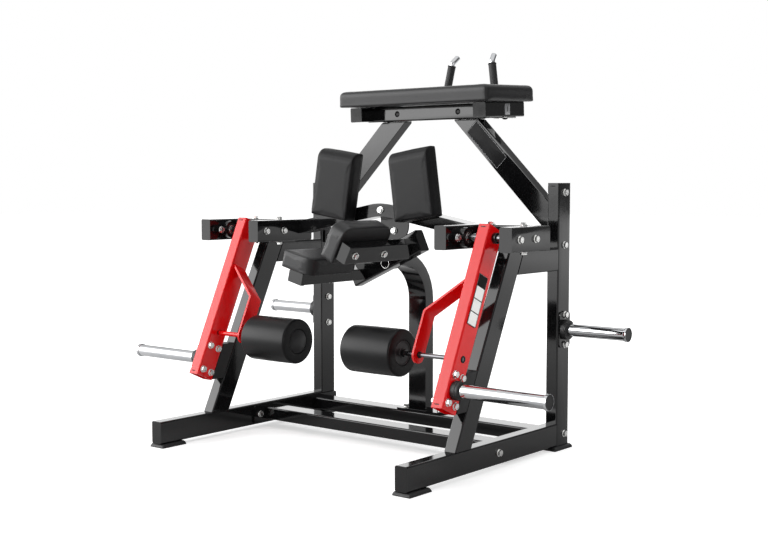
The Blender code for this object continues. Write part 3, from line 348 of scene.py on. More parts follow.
def slabGrid(halfX, halfY, radii, low, high, edgeLow, edgeHigh, steps=5, caps=4):
    # rings of a rounded outline: drawn in by e (1 - cos a) as the height runs e sin a past an edge
    rings = []

    def ring(inset, height):
        corners = [max(radius - inset, 0.0001) for radius in radii]
        outline = roundedOutline(halfX - inset, halfY - inset, corners)
        rings.append(np.column_stack([outline, np.full(len(outline), height)]))

    for a in np.linspace(math.pi / 2, 0.0, steps):
        ring(edgeLow * (1 - math.cos(a)), low + edgeLow * (1 - math.sin(a)))
    for t in np.linspace(0.0, 1.0, 5)[1:-1]:
        ring(0.0, (low + edgeLow) * (1 - t) + (high - edgeHigh) * t)
    for a in np.linspace(0.0, math.pi / 2, steps):
        ring(edgeHigh * (1 - math.cos(a)), high - edgeHigh * (1 - math.sin(a)))
    stack = np.array(rings)
    shrink = np.linspace(1.0, 0.0, caps + 1)[1:, None, None]
    scale = np.concatenate([shrink, shrink, np.ones_like(shrink)], axis=2)
    bottom = (stack[:1] * scale)[::-1]
    top = stack[-1:] * scale
    return np.concatenate([bottom, stack, top])


def moved(grid, spot, turn):
    # turned by Euler angles in degrees, then carried to the spot
    matrix = np.array(Euler([math.radians(t) for t in turn]).to_matrix())
    return grid @ matrix.T + np.asarray(spot, float)


def placed(grid, matrix):
    # each point times the matrix's turn, plus its place
    return grid @ np.array(matrix.to_3x3()).T + np.array(matrix.translation)


view = {"spot": (3.009, -3.979 + shiftY, 1.003), "turn": (85.663, 0.0, 39.036), "lens": 58.32}
camera = bpy.data.objects.new("camera", bpy.data.cameras.new("camera"))
camera.data.lens = view["lens"]
camera.data.sensor_width = 36.0
camera.data.clip_end = 100.0
camera.location = view["spot"]
camera.rotation_euler = [math.radians(t) for t in view["turn"]]
scene.collection.objects.link(camera)
scene.camera = camera
scene.view_settings.view_transform = "Standard"

lamps = {
    # place, aim, width, height, watts; gloss shows the studio that the world draws instead of them
    "key_softbox": ((-3.6, -3.4, 3.0), (0.0, 0.0, 0.9), 2.6, 2.2, 190.0),
    "right_softbox": ((4.2, 1.4, 2.4), (0.0, 0.0, 0.8), 2.4, 2.0, 60.0),
    "top_softbox": ((0.2, 0.3, 4.4), (0.0, 0.0, 0.6), 2.6, 2.6, 90.0),
}
for name, (spot, aim, width, height, power) in lamps.items():
    data = bpy.data.lights.new(name, "AREA")
    data.shape = "RECTANGLE"
    data.size, data.size_y, data.energy = width, height, power
    lamp = bpy.data.objects.new(name, data)
    lamp.location = spot
    lamp.rotation_euler = (Vector(aim) - Vector(spot)).to_track_quat("-Z", "Y").to_euler()
    lamp.visible_glossy = False
    scene.collection.objects.link(lamp)

# the world is white to the camera and plain soft grey as a light; gloss and metal see a tall
# softbox ahead on the left, white paper behind on the left, weaker ones on the right and above,
# and a dim room elsewhere
studio = {"plain": 0.42, "room": 0.2, "softboxes": [
    dict(toward=(-0.62, -0.78, 0.0), strength=5.2, cone=(0.52, 0.80), rise=(-0.055, 0.05),
         fall=(0.36, 0.95)),
    dict(toward=(-0.65, 0.76, 0.0), strength=1.6, cone=(0.60, 0.86), rise=(-0.06, 0.0),
         fall=(0.30, 0.55)),
    dict(toward=(0.88, -0.47, 0.0), strength=0.9, cone=(0.80, 0.96), rise=(-0.03, 0.06),
         fall=(0.3, 0.8)),
    dict(toward=(0.0, 0.0, 1.0), strength=0.9, cone=(0.45, 0.85), rise=(0.0, 0.1),
         fall=(1.5, 2.0)),
]}
world = bpy.data.worlds.new("studio")
world.use_nodes = True
scene.world = world
sky = world.node_tree
way = addNode(sky, "ShaderNodeTexCoord").outputs["Generated"]
height = addNode(sky, "ShaderNodeSeparateXYZ", None, {0: way}).outputs["Z"]
mirrored = None
for box in studio["softboxes"]:
    # strength, times a soft step in the angle to its middle and one at its foot and its top
    near = addNode(sky, "ShaderNodeVectorMath", {"operation": "DOT_PRODUCT", 1: box["toward"]},
                   {0: way}).outputs["Value"]
    shape = addNode(sky, "ShaderNodeMapRange", {
        "interpolation_type": "SMOOTHSTEP", 1: box["cone"][0], 2: box["cone"][1], 3: 0.0,
        4: box["strength"]}, {0: near})
    for (low, high), before, after in ((box["rise"], 0.0, 1.0), (box["fall"], 1.0, 0.0)):
        edge = addNode(sky, "ShaderNodeMapRange", {
            "interpolation_type": "SMOOTHSTEP", 1: low, 2: high, 3: before, 4: after},
            {0: height})
        shape = addNode(sky, "ShaderNodeMath", {"operation": "MULTIPLY"}, {0: shape, 1: edge})
    mirrored = addNode(sky, "ShaderNodeMath", {"operation": "ADD", 1: studio["room"]},
                       {0: shape, **({1: mirrored} if mirrored else {})})
glossy, clear = lightPaths(sky)
gloss = addNode(sky, "ShaderNodeMix", {"data_type": "FLOAT", 2: studio["plain"]},
                {0: glossy, 3: mirrored})
connect(sky.nodes["Background"], {"Strength": addNode(
    sky, "ShaderNodeMix", {"data_type": "FLOAT", 3: 1.0}, {0: clear, 2: gloss})})
sky.nodes["Background"].inputs["Color"].default_value = (1.0, 1.0, 1.0, 1.0)

# white paper floor: it takes the shadow round the machine and goes over into the white world
paper = {"colour": "#e4e4e4", "shadeInGloss": "#bcbcbc", "near": 1.5, "far": 3.6, "lift": 0.56,
         "pools": [dict(toward=(-0.62, -0.78, 0.0), start=-1.0, end=10.0, glow=2.2),
                   dict(toward=(-0.65, 0.76, 0.0), start=0.5, end=4.0, glow=0.7),
                   dict(toward=(0.63, 0.77, 0.0), start=0.9, end=4.5, glow=0.55)]}
floorMesh = bpy.data.meshes.new("floor")
floorMesh.from_pydata([(-30, -30, 0), (30, -30, 0), (30, 30, 0), (-30, 30, 0)], [], [(0, 1, 2, 3)])
floor = bpy.data.objects.new("floor", floorMesh)
scene.collection.objects.link(floor)
sheet, tree, matt, place = newMaterial("white_studio_paper", {
    "Roughness": 0.9, "Specular IOR Level": 0.0})
glossy, clear = lightPaths(tree)
# painted shade: seen in gloss the paper takes a darker colour than it shows the camera
connect(matt, {"Base Color": addNode(tree, "ShaderNodeMix", {
    "data_type": "RGBA", 6: linear(paper["colour"]), 7: linear(paper["shadeInGloss"])},
    {0: glossy}).outputs[2]})
away = addNode(tree, "ShaderNodeVectorMath", {"operation": "LENGTH"}, {0: place}).outputs["Value"]
lift = addNode(tree, "ShaderNodeMapRange", {"interpolation_type": "SMOOTHSTEP", 1: paper["near"],
                                            2: paper["far"], 3: paper["lift"], 4: 1.0}, {0: away})
glow = addNode(tree, "ShaderNodeMath", {"operation": "MULTIPLY"}, {0: lift, 1: clear})
for pool in paper["pools"]:
    # painted light: a glow lying on the paper further out, seen in gloss only: a soft step in the
    # way towards it
    out = addNode(tree, "ShaderNodeVectorMath", {"operation": "DOT_PRODUCT", 1: pool["toward"]},
                  {0: place}).outputs["Value"]
    lit = addNode(tree, "ShaderNodeMapRange", {
        "interpolation_type": "SMOOTHSTEP", 1: pool["start"], 2: pool["end"], 3: 0.0,
        4: pool["glow"]}, {0: out})
    glow = addNode(tree, "ShaderNodeMath", {"operation": "MULTIPLY_ADD"},
                   {0: lit, 1: glossy, 2: glow})
both = addNode(tree, "ShaderNodeAddShader", None, {0: matt, 1: addNode(
    tree, "ShaderNodeEmission", {"Color": (1.0, 1.0, 1.0, 1.0)}, {"Strength": glow})})
connect(tree.nodes["Material Output"], {"Surface": both})
floorMesh.materials.append(sheet)
print("camera, light and floor made")

# painted steel, castings and rubber keep the CAD shape: its loose triangles are merged, shaded
# smooth below the angle and given even normals
smoothing = bpy.data.node_groups.new("smooth_by_angle", "GeometryNodeTree")
smoothing.interface.new_socket("Geometry", in_out="INPUT", socket_type="NodeSocketGeometry")
smoothing.interface.new_socket("Geometry", in_out="OUTPUT", socket_type="NodeSocketGeometry")
entry = addNode(smoothing, "NodeGroupInput")
leaving = addNode(smoothing, "NodeGroupOutput")
edgeAngle = addNode(smoothing, "GeometryNodeInputMeshEdgeAngle")
gentle = addNode(smoothing, "FunctionNodeCompare", {"operation": "LESS_THAN", 1: math.radians(50)},
                 {0: edgeAngle})
edges = addNode(smoothing, "GeometryNodeSetShadeSmooth", {"domain": "EDGE"},
                {"Geometry": entry, "Shade Smooth": gentle})
faces = addNode(smoothing, "GeometryNodeSetShadeSmooth", {"domain": "FACE"}, {"Geometry": edges})
smoothing.links.new(faces.outputs[0], leaving.inputs[0])

nodeFinish = {
    blackPaint: ["base_rail_", "rear_post_", "slanted_post_", "side_tube_", "end_plate_",
                 "pivot_inner_wall_", "pivot_outer_wall_", "pivot_back_tube_", "upper_tube_",
                 "front_cross_tube", "rear_cross_tube", "arch_post", "knee_rocker", "bridge",
                 "top_frame"],
    redPaint: ["arm_L", "arm_R", "roller_bracket_"],
    castPaint: ["pivot_bearing_"],
    rubber: ["foot_", "arm_stop_"],
}
for mat, stems in nodeFinish.items():
    for name, ob in nodes.items():
        if any(name.startswith(stem) for stem in stems):
            for slot in ob.material_slots:
                slot.material = mat
            joined = ob.modifiers.new("joined", "WELD")
            joined.merge_threshold = 0.00002
            smooth = ob.modifiers.new("smooth", "NODES")
            smooth.node_group = smoothing
            even = ob.modifiers.new("even", "WEIGHTED_NORMAL")
            even.keep_sharp = True
            even.weight = 100
print("painted steel finished")

horns = {"sleeve": 0.0235, "rim": 0.0265, "rimLength": 0.012, "plug": 0.0255, "dish": 0.0215,
         "seat": 0.0016, "deep": 0.0008, "gap": 0.0002, "bead": 0.0015, "beadBack": 0.0004}
for side, sign, armBody in sides:
    for node, body in (("storage_horn_" + side, "machine_frame"), ("arm_horn_" + side, armBody)):
        root, tip, at = ends(node, sign)
        r, rim, plug = horns["sleeve"], horns["rim"], horns["plug"]
        lip, seat, dish = (tip - sign * horns[k] for k in ("rimLength", "seat", "deep"))
        profile = filleted([(0.0, root), (r, root), (r, lip), (rim, lip), (rim, tip), (plug, tip),
                            (plug, seat), (0.0, seat)],
                           [0.001, 0.0008, 0.0016, 0.0006, 0.0003, 0.0004])
        sleeve = turned(node + "_sleeve", [profile], chrome, body, 96, at)
        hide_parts(node)
        seat -= sign * horns["gap"]
        profile = filleted([(0.0, seat), (plug, seat), (plug, tip - sign * horns["beadBack"]),
                            (horns["dish"] + horns["bead"], tip), (horns["dish"], dish),
                            (0.0, dish)], [0.0, 0.0006, 0.0005, 0.0005])
        turned(node + "_end_plug", [profile], plastic, body, 64, at)
print("chrome sleeves made")

armCollar = {"radius": 0.033, "bore": 0.0238, "step": 0.0018, "waist": 0.58, "waistRise": 0.001}
storageCollar = {"radius": 0.0366, "bore": 0.0238, "start": 0.6192, "length": 0.0212,
                 "y": 0.0425, "z": 0.453}
for side, sign, armBody in sides:
    node, c = "arm_horn_collar_" + side, armCollar
    inside, outside, at = ends(node, sign)
    r, bore, slim = c["radius"], c["bore"], c["radius"] - c["step"]
    waist = inside * (1 - c["waist"]) + outside * c["waist"]
    profile = filleted([(bore, inside), (r, inside), (r, waist),
                        (slim, waist + sign * c["waistRise"]), (slim, outside), (bore, outside)],
                       [0.003, 0.0012, 0.001, 0.006])
    collar = turned(node + "_ring", [looped(profile)], rubber, armBody, 80, at)
    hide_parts(node)
    c = storageCollar
    start, end = sign * c["start"], sign * (c["start"] + c["length"])
    profile = filleted([(c["bore"], start), (c["radius"], start), (c["radius"], end),
                        (c["bore"], end)], [0.0025, 0.0045])
    turned("storage_collar_" + side, [looped(profile)], rubber, "machine_frame", 80,
           (0.0, c["y"] + shiftY, c["z"]))

pivots = {"x": 0.589, "y": -0.423 + shiftY, "z": 0.8108, "tilt": -24.6}
shaft = {"radius": 0.0125, "collar": 0.0195, "collarLength": 0.014, "armHalf": 0.0253,
         "play": 0.0001}
bearing = {"faces": (0.506, 0.672), "race": (0.0128, 0.0172), "base": -0.0006, "proud": 0.0012,
           "seal": 0.0245, "sealProud": 0.0004}
axleSpec = {"radius": 0.008, "head": 0.014, "headLength": 0.009, "short": 0.0055,
            "armFace": 0.614, "flush": 0.0012, "cap": 0.0122, "capLap": 0.0012, "capHigh": 0.0024,
            "capSunk": 0.0005, "nuts": [(0.3612, 0.3725, 0.0135), (0.4296, 0.4350, 0.0120)],
            "painted": (0.5570, 0.4290), "coat": 0.0009}
swings = {}
for side, sign, armBody in sides:
    swings[side] = Matrix.Translation((sign * pivots["x"], pivots["y"], pivots["z"])) @ \
        Matrix.Rotation(math.radians(pivots["tilt"]), 4, "X")
    node, at = "pivot_shaft_" + side, (0.0, pivots["y"], pivots["z"])
    inner, outer = ends(node, sign)[:2]
    start = sign * (pivots["x"] + shaft["armHalf"])
    end = start + sign * shaft["collarLength"]
    r, c, near = shaft["radius"], shaft["collar"], shaft["radius"] + shaft["play"]
    bar = filleted([(0.0, outer), (r, outer), (r, inner), (0.0, inner)], [0.0012, 0.0012])
    ring = filleted([(near, start), (c, start), (c, end), (near, end)], [0.0008, 0.0015])
    steelBar = turned(node + "_bar", [bar], steel, armBody, 64, at)
    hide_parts(node)
    turned(node + "_collar", [looped(ring)], castPaint, armBody, 64, at)
    races, seals = [], []
    (near, far), seal = bearing["race"], bearing["seal"]
    for face, way in zip(bearing["faces"], (sign, -sign)):
        base, top, lid = (sign * face + way * bearing[k] for k in ("base", "proud", "sealProud"))
        races.append(looped(filleted([(near, base), (near, top), (far, top), (far, base)],
                                     [0.0004, 0.0004])))
        seals.append(looped([(far, base), (far, lid), (seal, lid), (seal, base)]))
    turned("bearing_races_" + side, races, zinc, "machine_frame", 56, at)
    turned("bearing_seals_" + side, seals, rubber, "machine_frame", 56, at)

    node = "roller_axle_" + side
    inner, outer, at = ends(node, sign)
    step, tip = (inner + sign * axleSpec[k] for k in ("headLength", "short"))
    arm, r, h, c = (axleSpec[k] for k in ("armFace", "radius", "head", "cap"))
    end = sign * (arm + axleSpec["flush"])
    profile = filleted([(0.0, end), (r, end), (r, step), (h, step), (h, tip), (0.0, tip)],
                       [0.0012, 0.0, 0.0008, 0.0015])
    axle = turned(node + "_bar", [profile], steel, armBody, 56, at)
    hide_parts(node)
    # a black ring lies round the axle's end on the arm's outer face
    base, top = sign * (arm - axleSpec["capSunk"]), sign * (arm + axleSpec["capHigh"])
    lap = r - axleSpec["capLap"]
    ring = looped(filleted([(lap, base), (c, base), (c, top), (lap, top)], [0.0, 0.0010]))
    turned("axle_cap_" + side, [ring], plastic, armBody, 40, at)
    nuts = [looped(filleted([(r, sign * a), (wide, sign * a), (wide, sign * b), (r, sign * b)],
                            [0.0008, 0.0008])) for a, b, wide in axleSpec["nuts"]]
    turned("axle_nuts_" + side, nuts, castPaint, armBody, 48, at)
    if side == "L":
        # in the photograph the left axle is red between the arm and its bar
        a, b = (sign * x for x in axleSpec["painted"])
        coat = r + axleSpec["coat"]
        tube = looped([(r, a), (coat, a), (coat, b), (r, b)])
        turned("axle_sleeve_" + side, [tube], redPaint, armBody, 48, at)
print("shafts and axles made")

roller = {"radius": 0.0845, "edge": 0.0075, "inFrom": 0.001, "hub": 0.044, "bore": 0.009,
          "dip": 0.0075, "squeeze": 0.0012, "seat": 0.006, "out": 0.0012, "dish": 0.0032,
          "bead": (0.0035, 0.0055), "boss": (0.0175, 0.0160), "dome": 0.0064}
for side, sign, armBody in sides:
    node, body = "roller_foam_" + side, armBody.replace("arm", "roller")
    low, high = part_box(node)
    middle = tuple((low + high) / 2)
    half = (high.x - low.x) / 2 - roller["inFrom"]
    r, hub, bore, dip = (roller[k] for k in ("radius", "hub", "bore", "dip"))
    # from the body's middle over the rolled edge into the hub's round seat; the vinyl is drawn in
    # towards the ends by the eighth power of the way there
    rim = filleted([(r, 0.0), (r, half), (hub + 0.0016, half), (hub + 0.0012, half - dip),
                    (hub - 0.004, half - dip)], [roller["edge"], 0.0025, 0.0004], 9)
    skin = np.concatenate([rim[::-1] * (1, -1), rim[1:]])
    skin[:, 0] -= np.where(skin[:, 0] > r - 0.004,
                           roller["squeeze"] * (skin[:, 1] / half) ** 8, 0.0)
    skin = looped(np.vstack([[(bore, skin[0, 1])], skin, [(bore, skin[-1, 1])]]))
    foam = turned(node + "_skin", [skin], rollerVinyl, body, 112, middle)
    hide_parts(node)
    # moulded discs pressed in there: the outer one has a bead, a dish and a boss for the axle, the
    # inner one is a low dome, its height falling with the square of the radius
    seat, out, dish = (half - roller[k] for k in ("seat", "out", "dish"))
    (bead, slope), (foot, boss) = roller["bead"], roller["boss"]
    cap = looped(filleted([(bore, seat), (hub, seat), (hub, out), (hub - bead, out),
                           (hub - slope, dish), (foot, dish), (boss, out), (bore, out)],
                          [0.0, 0.0010, 0.0012, 0.0010, 0.0008, 0.0008]))
    across = np.linspace(1.0, 0.0, 14)
    dome = np.vstack([[(0.0, seat), (hub, seat)],
                      np.stack([hub * across, out + roller["dome"] * (1 - across ** 2)], 1)])
    turned(node + "_hubs", [cap * (1, sign), dome * (1, -sign)], hubPlastic, body,
           88, middle)
print("rollers made")


def evaluated(ob):
    # the mesh as the object's modifiers leave it
    bpy.context.view_layer.update()
    return bpy.data.meshes.new_from_object(ob.evaluated_get(bpy.context.evaluated_depsgraph_get()))


def coords(mesh):
    # the points of a mesh as an array of three columns
    co = np.empty(len(mesh.vertices) * 3)
    mesh.vertices.foreach_get("co", co)
    return co.reshape(-1, 3)


cloth = {"pressure": 4.0, "frames": 20, "calm": 0.5, "calmTimes": 2}


def inflate(name, grid, voxel, cap, held):
    # the cover is sewn a little tight, remeshed evenly and blown up by cloth pressure; no point
    # moves further than the cap, and the side on the board, found by held, stays flat
    mesh = meshFrom(name, [grid])
    cleaned(mesh)
    ob = bpy.data.objects.new(name, mesh)
    scene.collection.objects.link(ob)
    even = ob.modifiers.new("even", "REMESH")
    even.mode = "VOXEL"
    even.voxel_size = voxel
    ob.data = evaluated(ob)
    ob.modifiers.clear()
    rest = coords(ob.data)
    board = ob.vertex_groups.new(name="board")
    board.add(np.nonzero(held(rest))[0].tolist(), 1.0, "REPLACE")
    blown = ob.modifiers.new("cover", "CLOTH")
    blown.settings.use_pressure = True
    blown.settings.uniform_pressure_force = cloth["pressure"]
    blown.settings.vertex_group_mass = "board"
    blown.settings.effector_weights.gravity = 0.0
    blown.point_cache.frame_start = 1
    blown.point_cache.frame_end = cloth["frames"]
    for step in range(1, cloth["frames"] + 1):
        scene.frame_set(step)
    swollen = coords(evaluated(ob))
    ob.modifiers.remove(blown)
    scene.frame_set(1)
    moves = swollen - rest
    length = np.linalg.norm(moves, axis=1)[:, None]
    moves *= np.minimum(1.0, cap / np.maximum(length, 1e-9))
    ob.data.vertices.foreach_set("co", (rest + moves).ravel())
    ob.data.update()
    calm = ob.modifiers.new("calm", "SMOOTH")
    calm.factor, calm.iterations = cloth["calm"], cloth["calmTimes"]
    fine = ob.modifiers.new("fine", "SUBSURF")
    fine.levels = fine.render_levels = 1
    shape = evaluated(ob)
    bpy.data.objects.remove(ob)
    # the corners that this wore off come back as it is drawn out to the size of its cut
    co, cut = coords(shape), grid.reshape(-1, 3)
    shape.vertices.foreach_set("co", (co * np.ptp(cut, axis=0) / np.ptp(co, axis=0)).ravel())
    return shape


# half sizes across and along, corner radii, half thickness, edges at the board and at the face;
# a thigh pad's outline is seen from its side, with the top front corner well rounded
thighPad = dict(side=True, half=(0.1325, 0.034), corners=(0.040, 0.006, 0.006, 0.007),
                thick=0.0905, edges=(0.005, 0.005), skin=mattVinyl, voxel=0.0032)
kneePad = dict(side=False, half=(0.0725, 0.141), corners=(0.040, 0.005, 0.005, 0.040),
               thick=0.033, edges=(0.003, 0.005), skin=vinyl, voxel=0.0032)
cushions = {
    "thigh_pad_L": dict(thighPad, spot=(-0.19099, -0.32401, 0.99491), turn=(89.0, 8.6, 0.0)),
    "thigh_pad_R": dict(thighPad, spot=(0.19099, -0.32401, 0.99491), turn=(89.0, -8.6, 0.0)),
    "knee_pad_L": dict(kneePad, spot=(-0.10652, -0.509, 0.70732), turn=(0.0, 13.8, 0.0)),
    "knee_pad_R": dict(kneePad, spot=(0.06993, -0.509, 0.78885), turn=(0.0, -63.4, 0.0)),
    "chest_pad": dict(spot=(0.0, 0.05263, 1.34400), turn=(2.3, 0.0, 0.0), side=False,
                      half=(0.3690, 0.1675), corners=(0.018,) * 4, thick=0.0325,
                      edges=(0.003, 0.020), skin=vinyl, voxel=0.006),
}
cover = {"tight": 0.0002, "cap": 0.0014, "back": 0.008, "welt": 0.0012, "weltIn": 0.004,
         "weltCorner": 0.003, "above": 0.004, "crease": 75.0}
for name, pad in cushions.items():
    tight, thick, spot = cover["tight"], pad["thick"], Vector(pad["spot"]) + Vector((0, shiftY, 0))
    half = [h - tight for h in pad["half"]]
    grid = slabGrid(*half, pad["corners"], tight - thick, thick - tight, *pad["edges"])
    body = "knee_rest" if name.startswith("knee") else "machine_frame"
    if pad["side"]:
        grid = grid[..., [2, 0, 1]]
    board = cover["back"] - (pad["half"][1] if pad["side"] else thick)
    shape = inflate(name, grid, pad["voxel"], cover["cap"], lambda co: co[:, 2] < board)
    if pad["side"]:
        # the side panels are sewn to the band that wraps over the front, with a welted seam: a
        # rounded outline dropped along X on the swollen cover
        tree = BVHTree.FromPolygons(coords(shape).tolist(), [p.vertices for p in shape.polygons])
        inset, welts = cover["weltIn"], []
        ring = roundedOutline(half[0] - inset, half[1] - inset, [
            max(corner - inset, cover["weltCorner"]) for corner in pad["corners"]], 9, 24)
        for way in (-1, 1):
            line = np.column_stack([np.full(len(ring), way * (thick + cover["above"])), ring])
            line = np.array([tree.ray_cast(Vector(p), Vector((-way, 0, 0)))[0] for p in line])
            welts.append(moved(pipeGrid(line, cover["welt"], 10, (1.0, 0.0, 0.0), True), spot,
                               pad["turn"]))
        finishMesh(name + "_welts", meshFrom(name, welts), pad["skin"], body,
                   cover["crease"])
    shape.vertices.foreach_set("co", moved(coords(shape), spot, pad["turn"]).ravel())
    piece = finishMesh(name + "_cover", shape, pad["skin"], body, cover["crease"])
    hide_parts(name)
print("cushions made")


def tubeGrid(route, radius, edge, count=90, steps=28, bead=0.0):
    # distances along the route lie closer together at its ends, where the edge is rounded to
    # radius - e + sqrt(e e - (e - d) (e - d)); a bead swells it by b exp(-((d - 4 mm) / 1.6 mm)^2)
    length = np.linalg.norm(np.diff(route, axis=0), axis=1).sum()
    bend = edge * (1 - np.cos(np.linspace(0.0, math.pi / 2, 7)))
    dense = np.concatenate([bend, np.linspace(edge, 0.012, 14)[1:]])
    even = np.linspace(0.012, length - 0.012, count)[1:-1]
    d = np.concatenate([dense, even, length - dense[::-1]])
    near = np.minimum(d, length - d)
    deep = np.minimum(near, edge) - edge
    r = radius - edge + np.sqrt(np.maximum(edge * edge - deep * deep, 0.0))
    r = r + bead * np.exp(-((near - 0.004) / 0.0016) ** 2)
    return pipeGrid(stations(route, d / length), r, steps)


handles = {"radius": 0.0127, "edge": 0.0045, "grip": 0.0163, "gripEdge": 0.0016, "bead": 0.0014,
           "gripFrom": 1.350, "gripTo": 1.492, "bends": (0.045, 0.100, 0.022),
           "corners": ((0.1186, 0.0634, 1.278), (0.1186, 0.303, 1.278), (0.1186, 0.305, 1.395),
                       (0.100, 0.313, 1.500), (0.091, 0.342, 1.527))}
for side, sign, armBody in sides:
    corners = np.array(handles["corners"]) * (sign, 1, 1) + (0.0, shiftY, 0.0)
    route = stations(filleted(corners, handles["bends"], 14), np.linspace(0.0, 1.0, 400))
    bent = tubeGrid(route, handles["radius"], handles["edge"])
    tube = finishMesh("handle_" + side + "_tube", meshFrom("handle", [bent]), chromeTube,
                      "machine_frame")
    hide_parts("handle_" + side)
    upright = (route[:, 2] > handles["gripFrom"]) & (route[:, 2] < handles["gripTo"])
    held = tubeGrid(route[upright], handles["grip"], handles["gripEdge"], bead=handles["bead"])
    grip = finishMesh("handle_grip_" + side + "_sleeve", meshFrom("grip", [held]), gripRubber,
                      "machine_frame")
    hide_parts("handle_grip_" + side)
print("handles made")

pin = {"x": 0.02787, "z": 0.71256, "nose": -0.2173, "tail": -0.302, "radius": 0.0055,
       "knob": 0.0075, "knobLength": 0.010, "ring": 0.0185, "wire": 0.0017, "ringY": -0.297}
r, knob, step = pin["radius"], pin["knob"], pin["tail"] + pin["knobLength"]
profile = filleted([(0.0, pin["nose"]), (r, pin["nose"]), (r, step), (knob, step),
                    (knob, pin["tail"]), (0.0, pin["tail"])], [0.0015, 0.0003, 0.0008, 0.0015])
turn = np.linspace(0.0, 2 * math.pi, 64, endpoint=False)
hoop = np.column_stack([pin["x"] + pin["ring"] * np.sin(turn), np.full(64, pin["ringY"] + shiftY),
                        pin["z"] - pin["ring"] * (1 - np.cos(turn))])
pull = finishMesh("knee_pull_pin_steel", meshFrom("pin", [
    ringGrid(profile, 40, (pin["x"], shiftY, pin["z"]), "Y"),
    pipeGrid(hoop, pin["wire"], 14, (0.0, 1.0, 0.0), True)]), zinc, "pull_pin")
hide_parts("knee_pull_pin")

bolt = {"washer": 0.0137, "washerHeight": 0.0022, "corner": 0.0121, "height": 0.0107,
        "top": 0.0096, "sunk": 0.0005, "cone": 28.0, "sharp": 22.0}


def boltGrid(steps=36):
    # a washer, then a hexagon whose radius is its apothem over cos(angle from the nearest flat's
    # middle), its corners cut by a cone, and a shallow dish on top
    a = np.linspace(0.0, 2 * math.pi, steps, endpoint=False)
    away = np.abs((a + math.pi / 6) % (math.pi / 3) - math.pi / 6)
    hexagon = bolt["corner"] * math.cos(math.pi / 6) / np.cos(away)
    ring = np.ones(steps)
    sunk, face, high, top = bolt["sunk"], bolt["washerHeight"], bolt["height"], bolt["top"]
    cone = high - (hexagon - top) * math.tan(math.radians(bolt["cone"]))
    washer, low = bolt["washer"], high - sunk
    rows = [(ring * 0, -sunk), (ring * washer, -sunk), (ring * washer, face - sunk),
            (ring * (washer - sunk), face), (hexagon * 0.995, face), (hexagon, face + 0.0003),
            (hexagon, cone), (ring * top, high), (ring * top * 0.72, high),
            (ring * top * 0.60, low), (ring * 0, low)]
    return np.stack([np.stack([r * np.cos(a), r * np.sin(a), np.zeros(steps) + z], axis=-1)
                     for r, z in rows])


def boltsAt(name, spots, body, matrix):
    # each spot is a point on the face and the way out of it
    template = boltGrid()
    grids = [placed(placed(template, Matrix.Translation(spot) @ Vector(way).to_track_quat(
        "Z", "Y").to_matrix().to_4x4()), matrix) for spot, way in spots]
    finishMesh(name, meshFrom(name, grids), zinc, body, bolt["sharp"])


# faces as (distance from the middle plane, 1 out or -1 in), and the bolts' places on them
onFrame = {
    "rail": dict(faces=((0.614, 1), (0.5557, -1)), y=(-0.386, 0.053), z=(0.0575,)),
    "horn": dict(faces=((0.620, 1), (0.564, -1)), y=(0.0425,), z=(0.509, 0.397)),
    "flange": dict(faces=((0.614, 1), (0.5557, -1)), y=(0.042,), z=(0.770, 0.965)),
    "bearing": dict(faces=((0.749, 1), (0.429, -1), (0.4933, 1), (0.6847, -1)),
                    y=(-0.4725, -0.3735), z=(0.8108,)),
}
onBack = {"x": (0.657, 0.521), "y": -0.3055, "z": ((0.8533, 1), (0.7603, -1))}
onArm = {"x": 0.025, "y": (-0.022, 0.022), "z": (-0.5965, -0.4985)}
centreBolts = [((-0.085, -0.0165, 0.0908), (0, 0, 1)), ((0.085, -0.0165, 0.0908), (0, 0, 1)),
               ((0.0, -0.2885, 0.897), (0, -1, 0)), ((0.0, -0.2045, 0.815), (0, -1, 0))]
ground = Matrix.Translation((0, shiftY, 0))
for side, sign, armBody in sides:
    spots = [((sign * x, y, z), (sign * way, 0, 0)) for row in onFrame.values()
             for x, way in row["faces"] for y in row["y"] for z in row["z"]]
    spots += [((sign * x, onBack["y"], z), (0, 0, way)) for x in onBack["x"]
              for z, way in onBack["z"]]
    boltsAt("frame_bolts_" + side, spots, "machine_frame", ground)
    spots = [((way * onArm["x"], y, z), (way, 0, 0)) for way in (-1, 1) for y in onArm["y"]
             for z in onArm["z"]]
    boltsAt("arm_bolts_" + side, spots, armBody, swings[side])
boltsAt("centre_bolts", centreBolts, "machine_frame", ground)

rocker = {"z": 0.7085, "turn": -24.8, "lean": 38.6, "bar": 0.132, "barHalf": 0.0225,
          "insets": (0.0, 0.015), "y": (-0.598, -0.435)}
rockerTilt = Matrix.Translation((0, shiftY, rocker["z"])) @ Matrix.Rotation(
    math.radians(rocker["turn"]), 4, "Y")
spots = []
for sign, inset in zip((-1, 1), rocker["insets"]):
    lean = math.radians(rocker["lean"])
    outward = Vector((sign * math.cos(lean), 0.0, math.sin(lean)))
    under = Vector((sign * math.sin(lean), 0.0, -math.cos(lean)))
    face = Vector((sign * rocker["bar"], 0.0, 0.0)) - outward * inset + under * rocker["barHalf"]
    spots += [(face + Vector((0.0, y, 0.0)), under) for y in rocker["y"]]
boltsAt("knee_rest_bolts", spots, "knee_rest", rockerTilt)
print("bolts made")


def standing(origin, across, out, base):
    # the place and turn of a face: X along it, Z out of it
    across, out = Vector(across).normalized(), Vector(out).normalized()
    turn = Matrix((across, out.cross(across), out)).transposed().to_4x4()
    return base @ Matrix.Translation(origin) @ turn


def plateOn(name, face, mat, body, slabs):
    # thin plates on one face: middle along and up, half sizes, corner, lower and upper height, edge
    grids = [placed(slabGrid(halfX, halfY, (corner,) * 4, low, high, edge, edge, 4, 1)
                    + (x, y, 0.0), face)
             for x, y, halfX, halfY, corner, low, high, edge in slabs]
    finishMesh(name, meshFrom(name, grids), mat, body, 30.0)


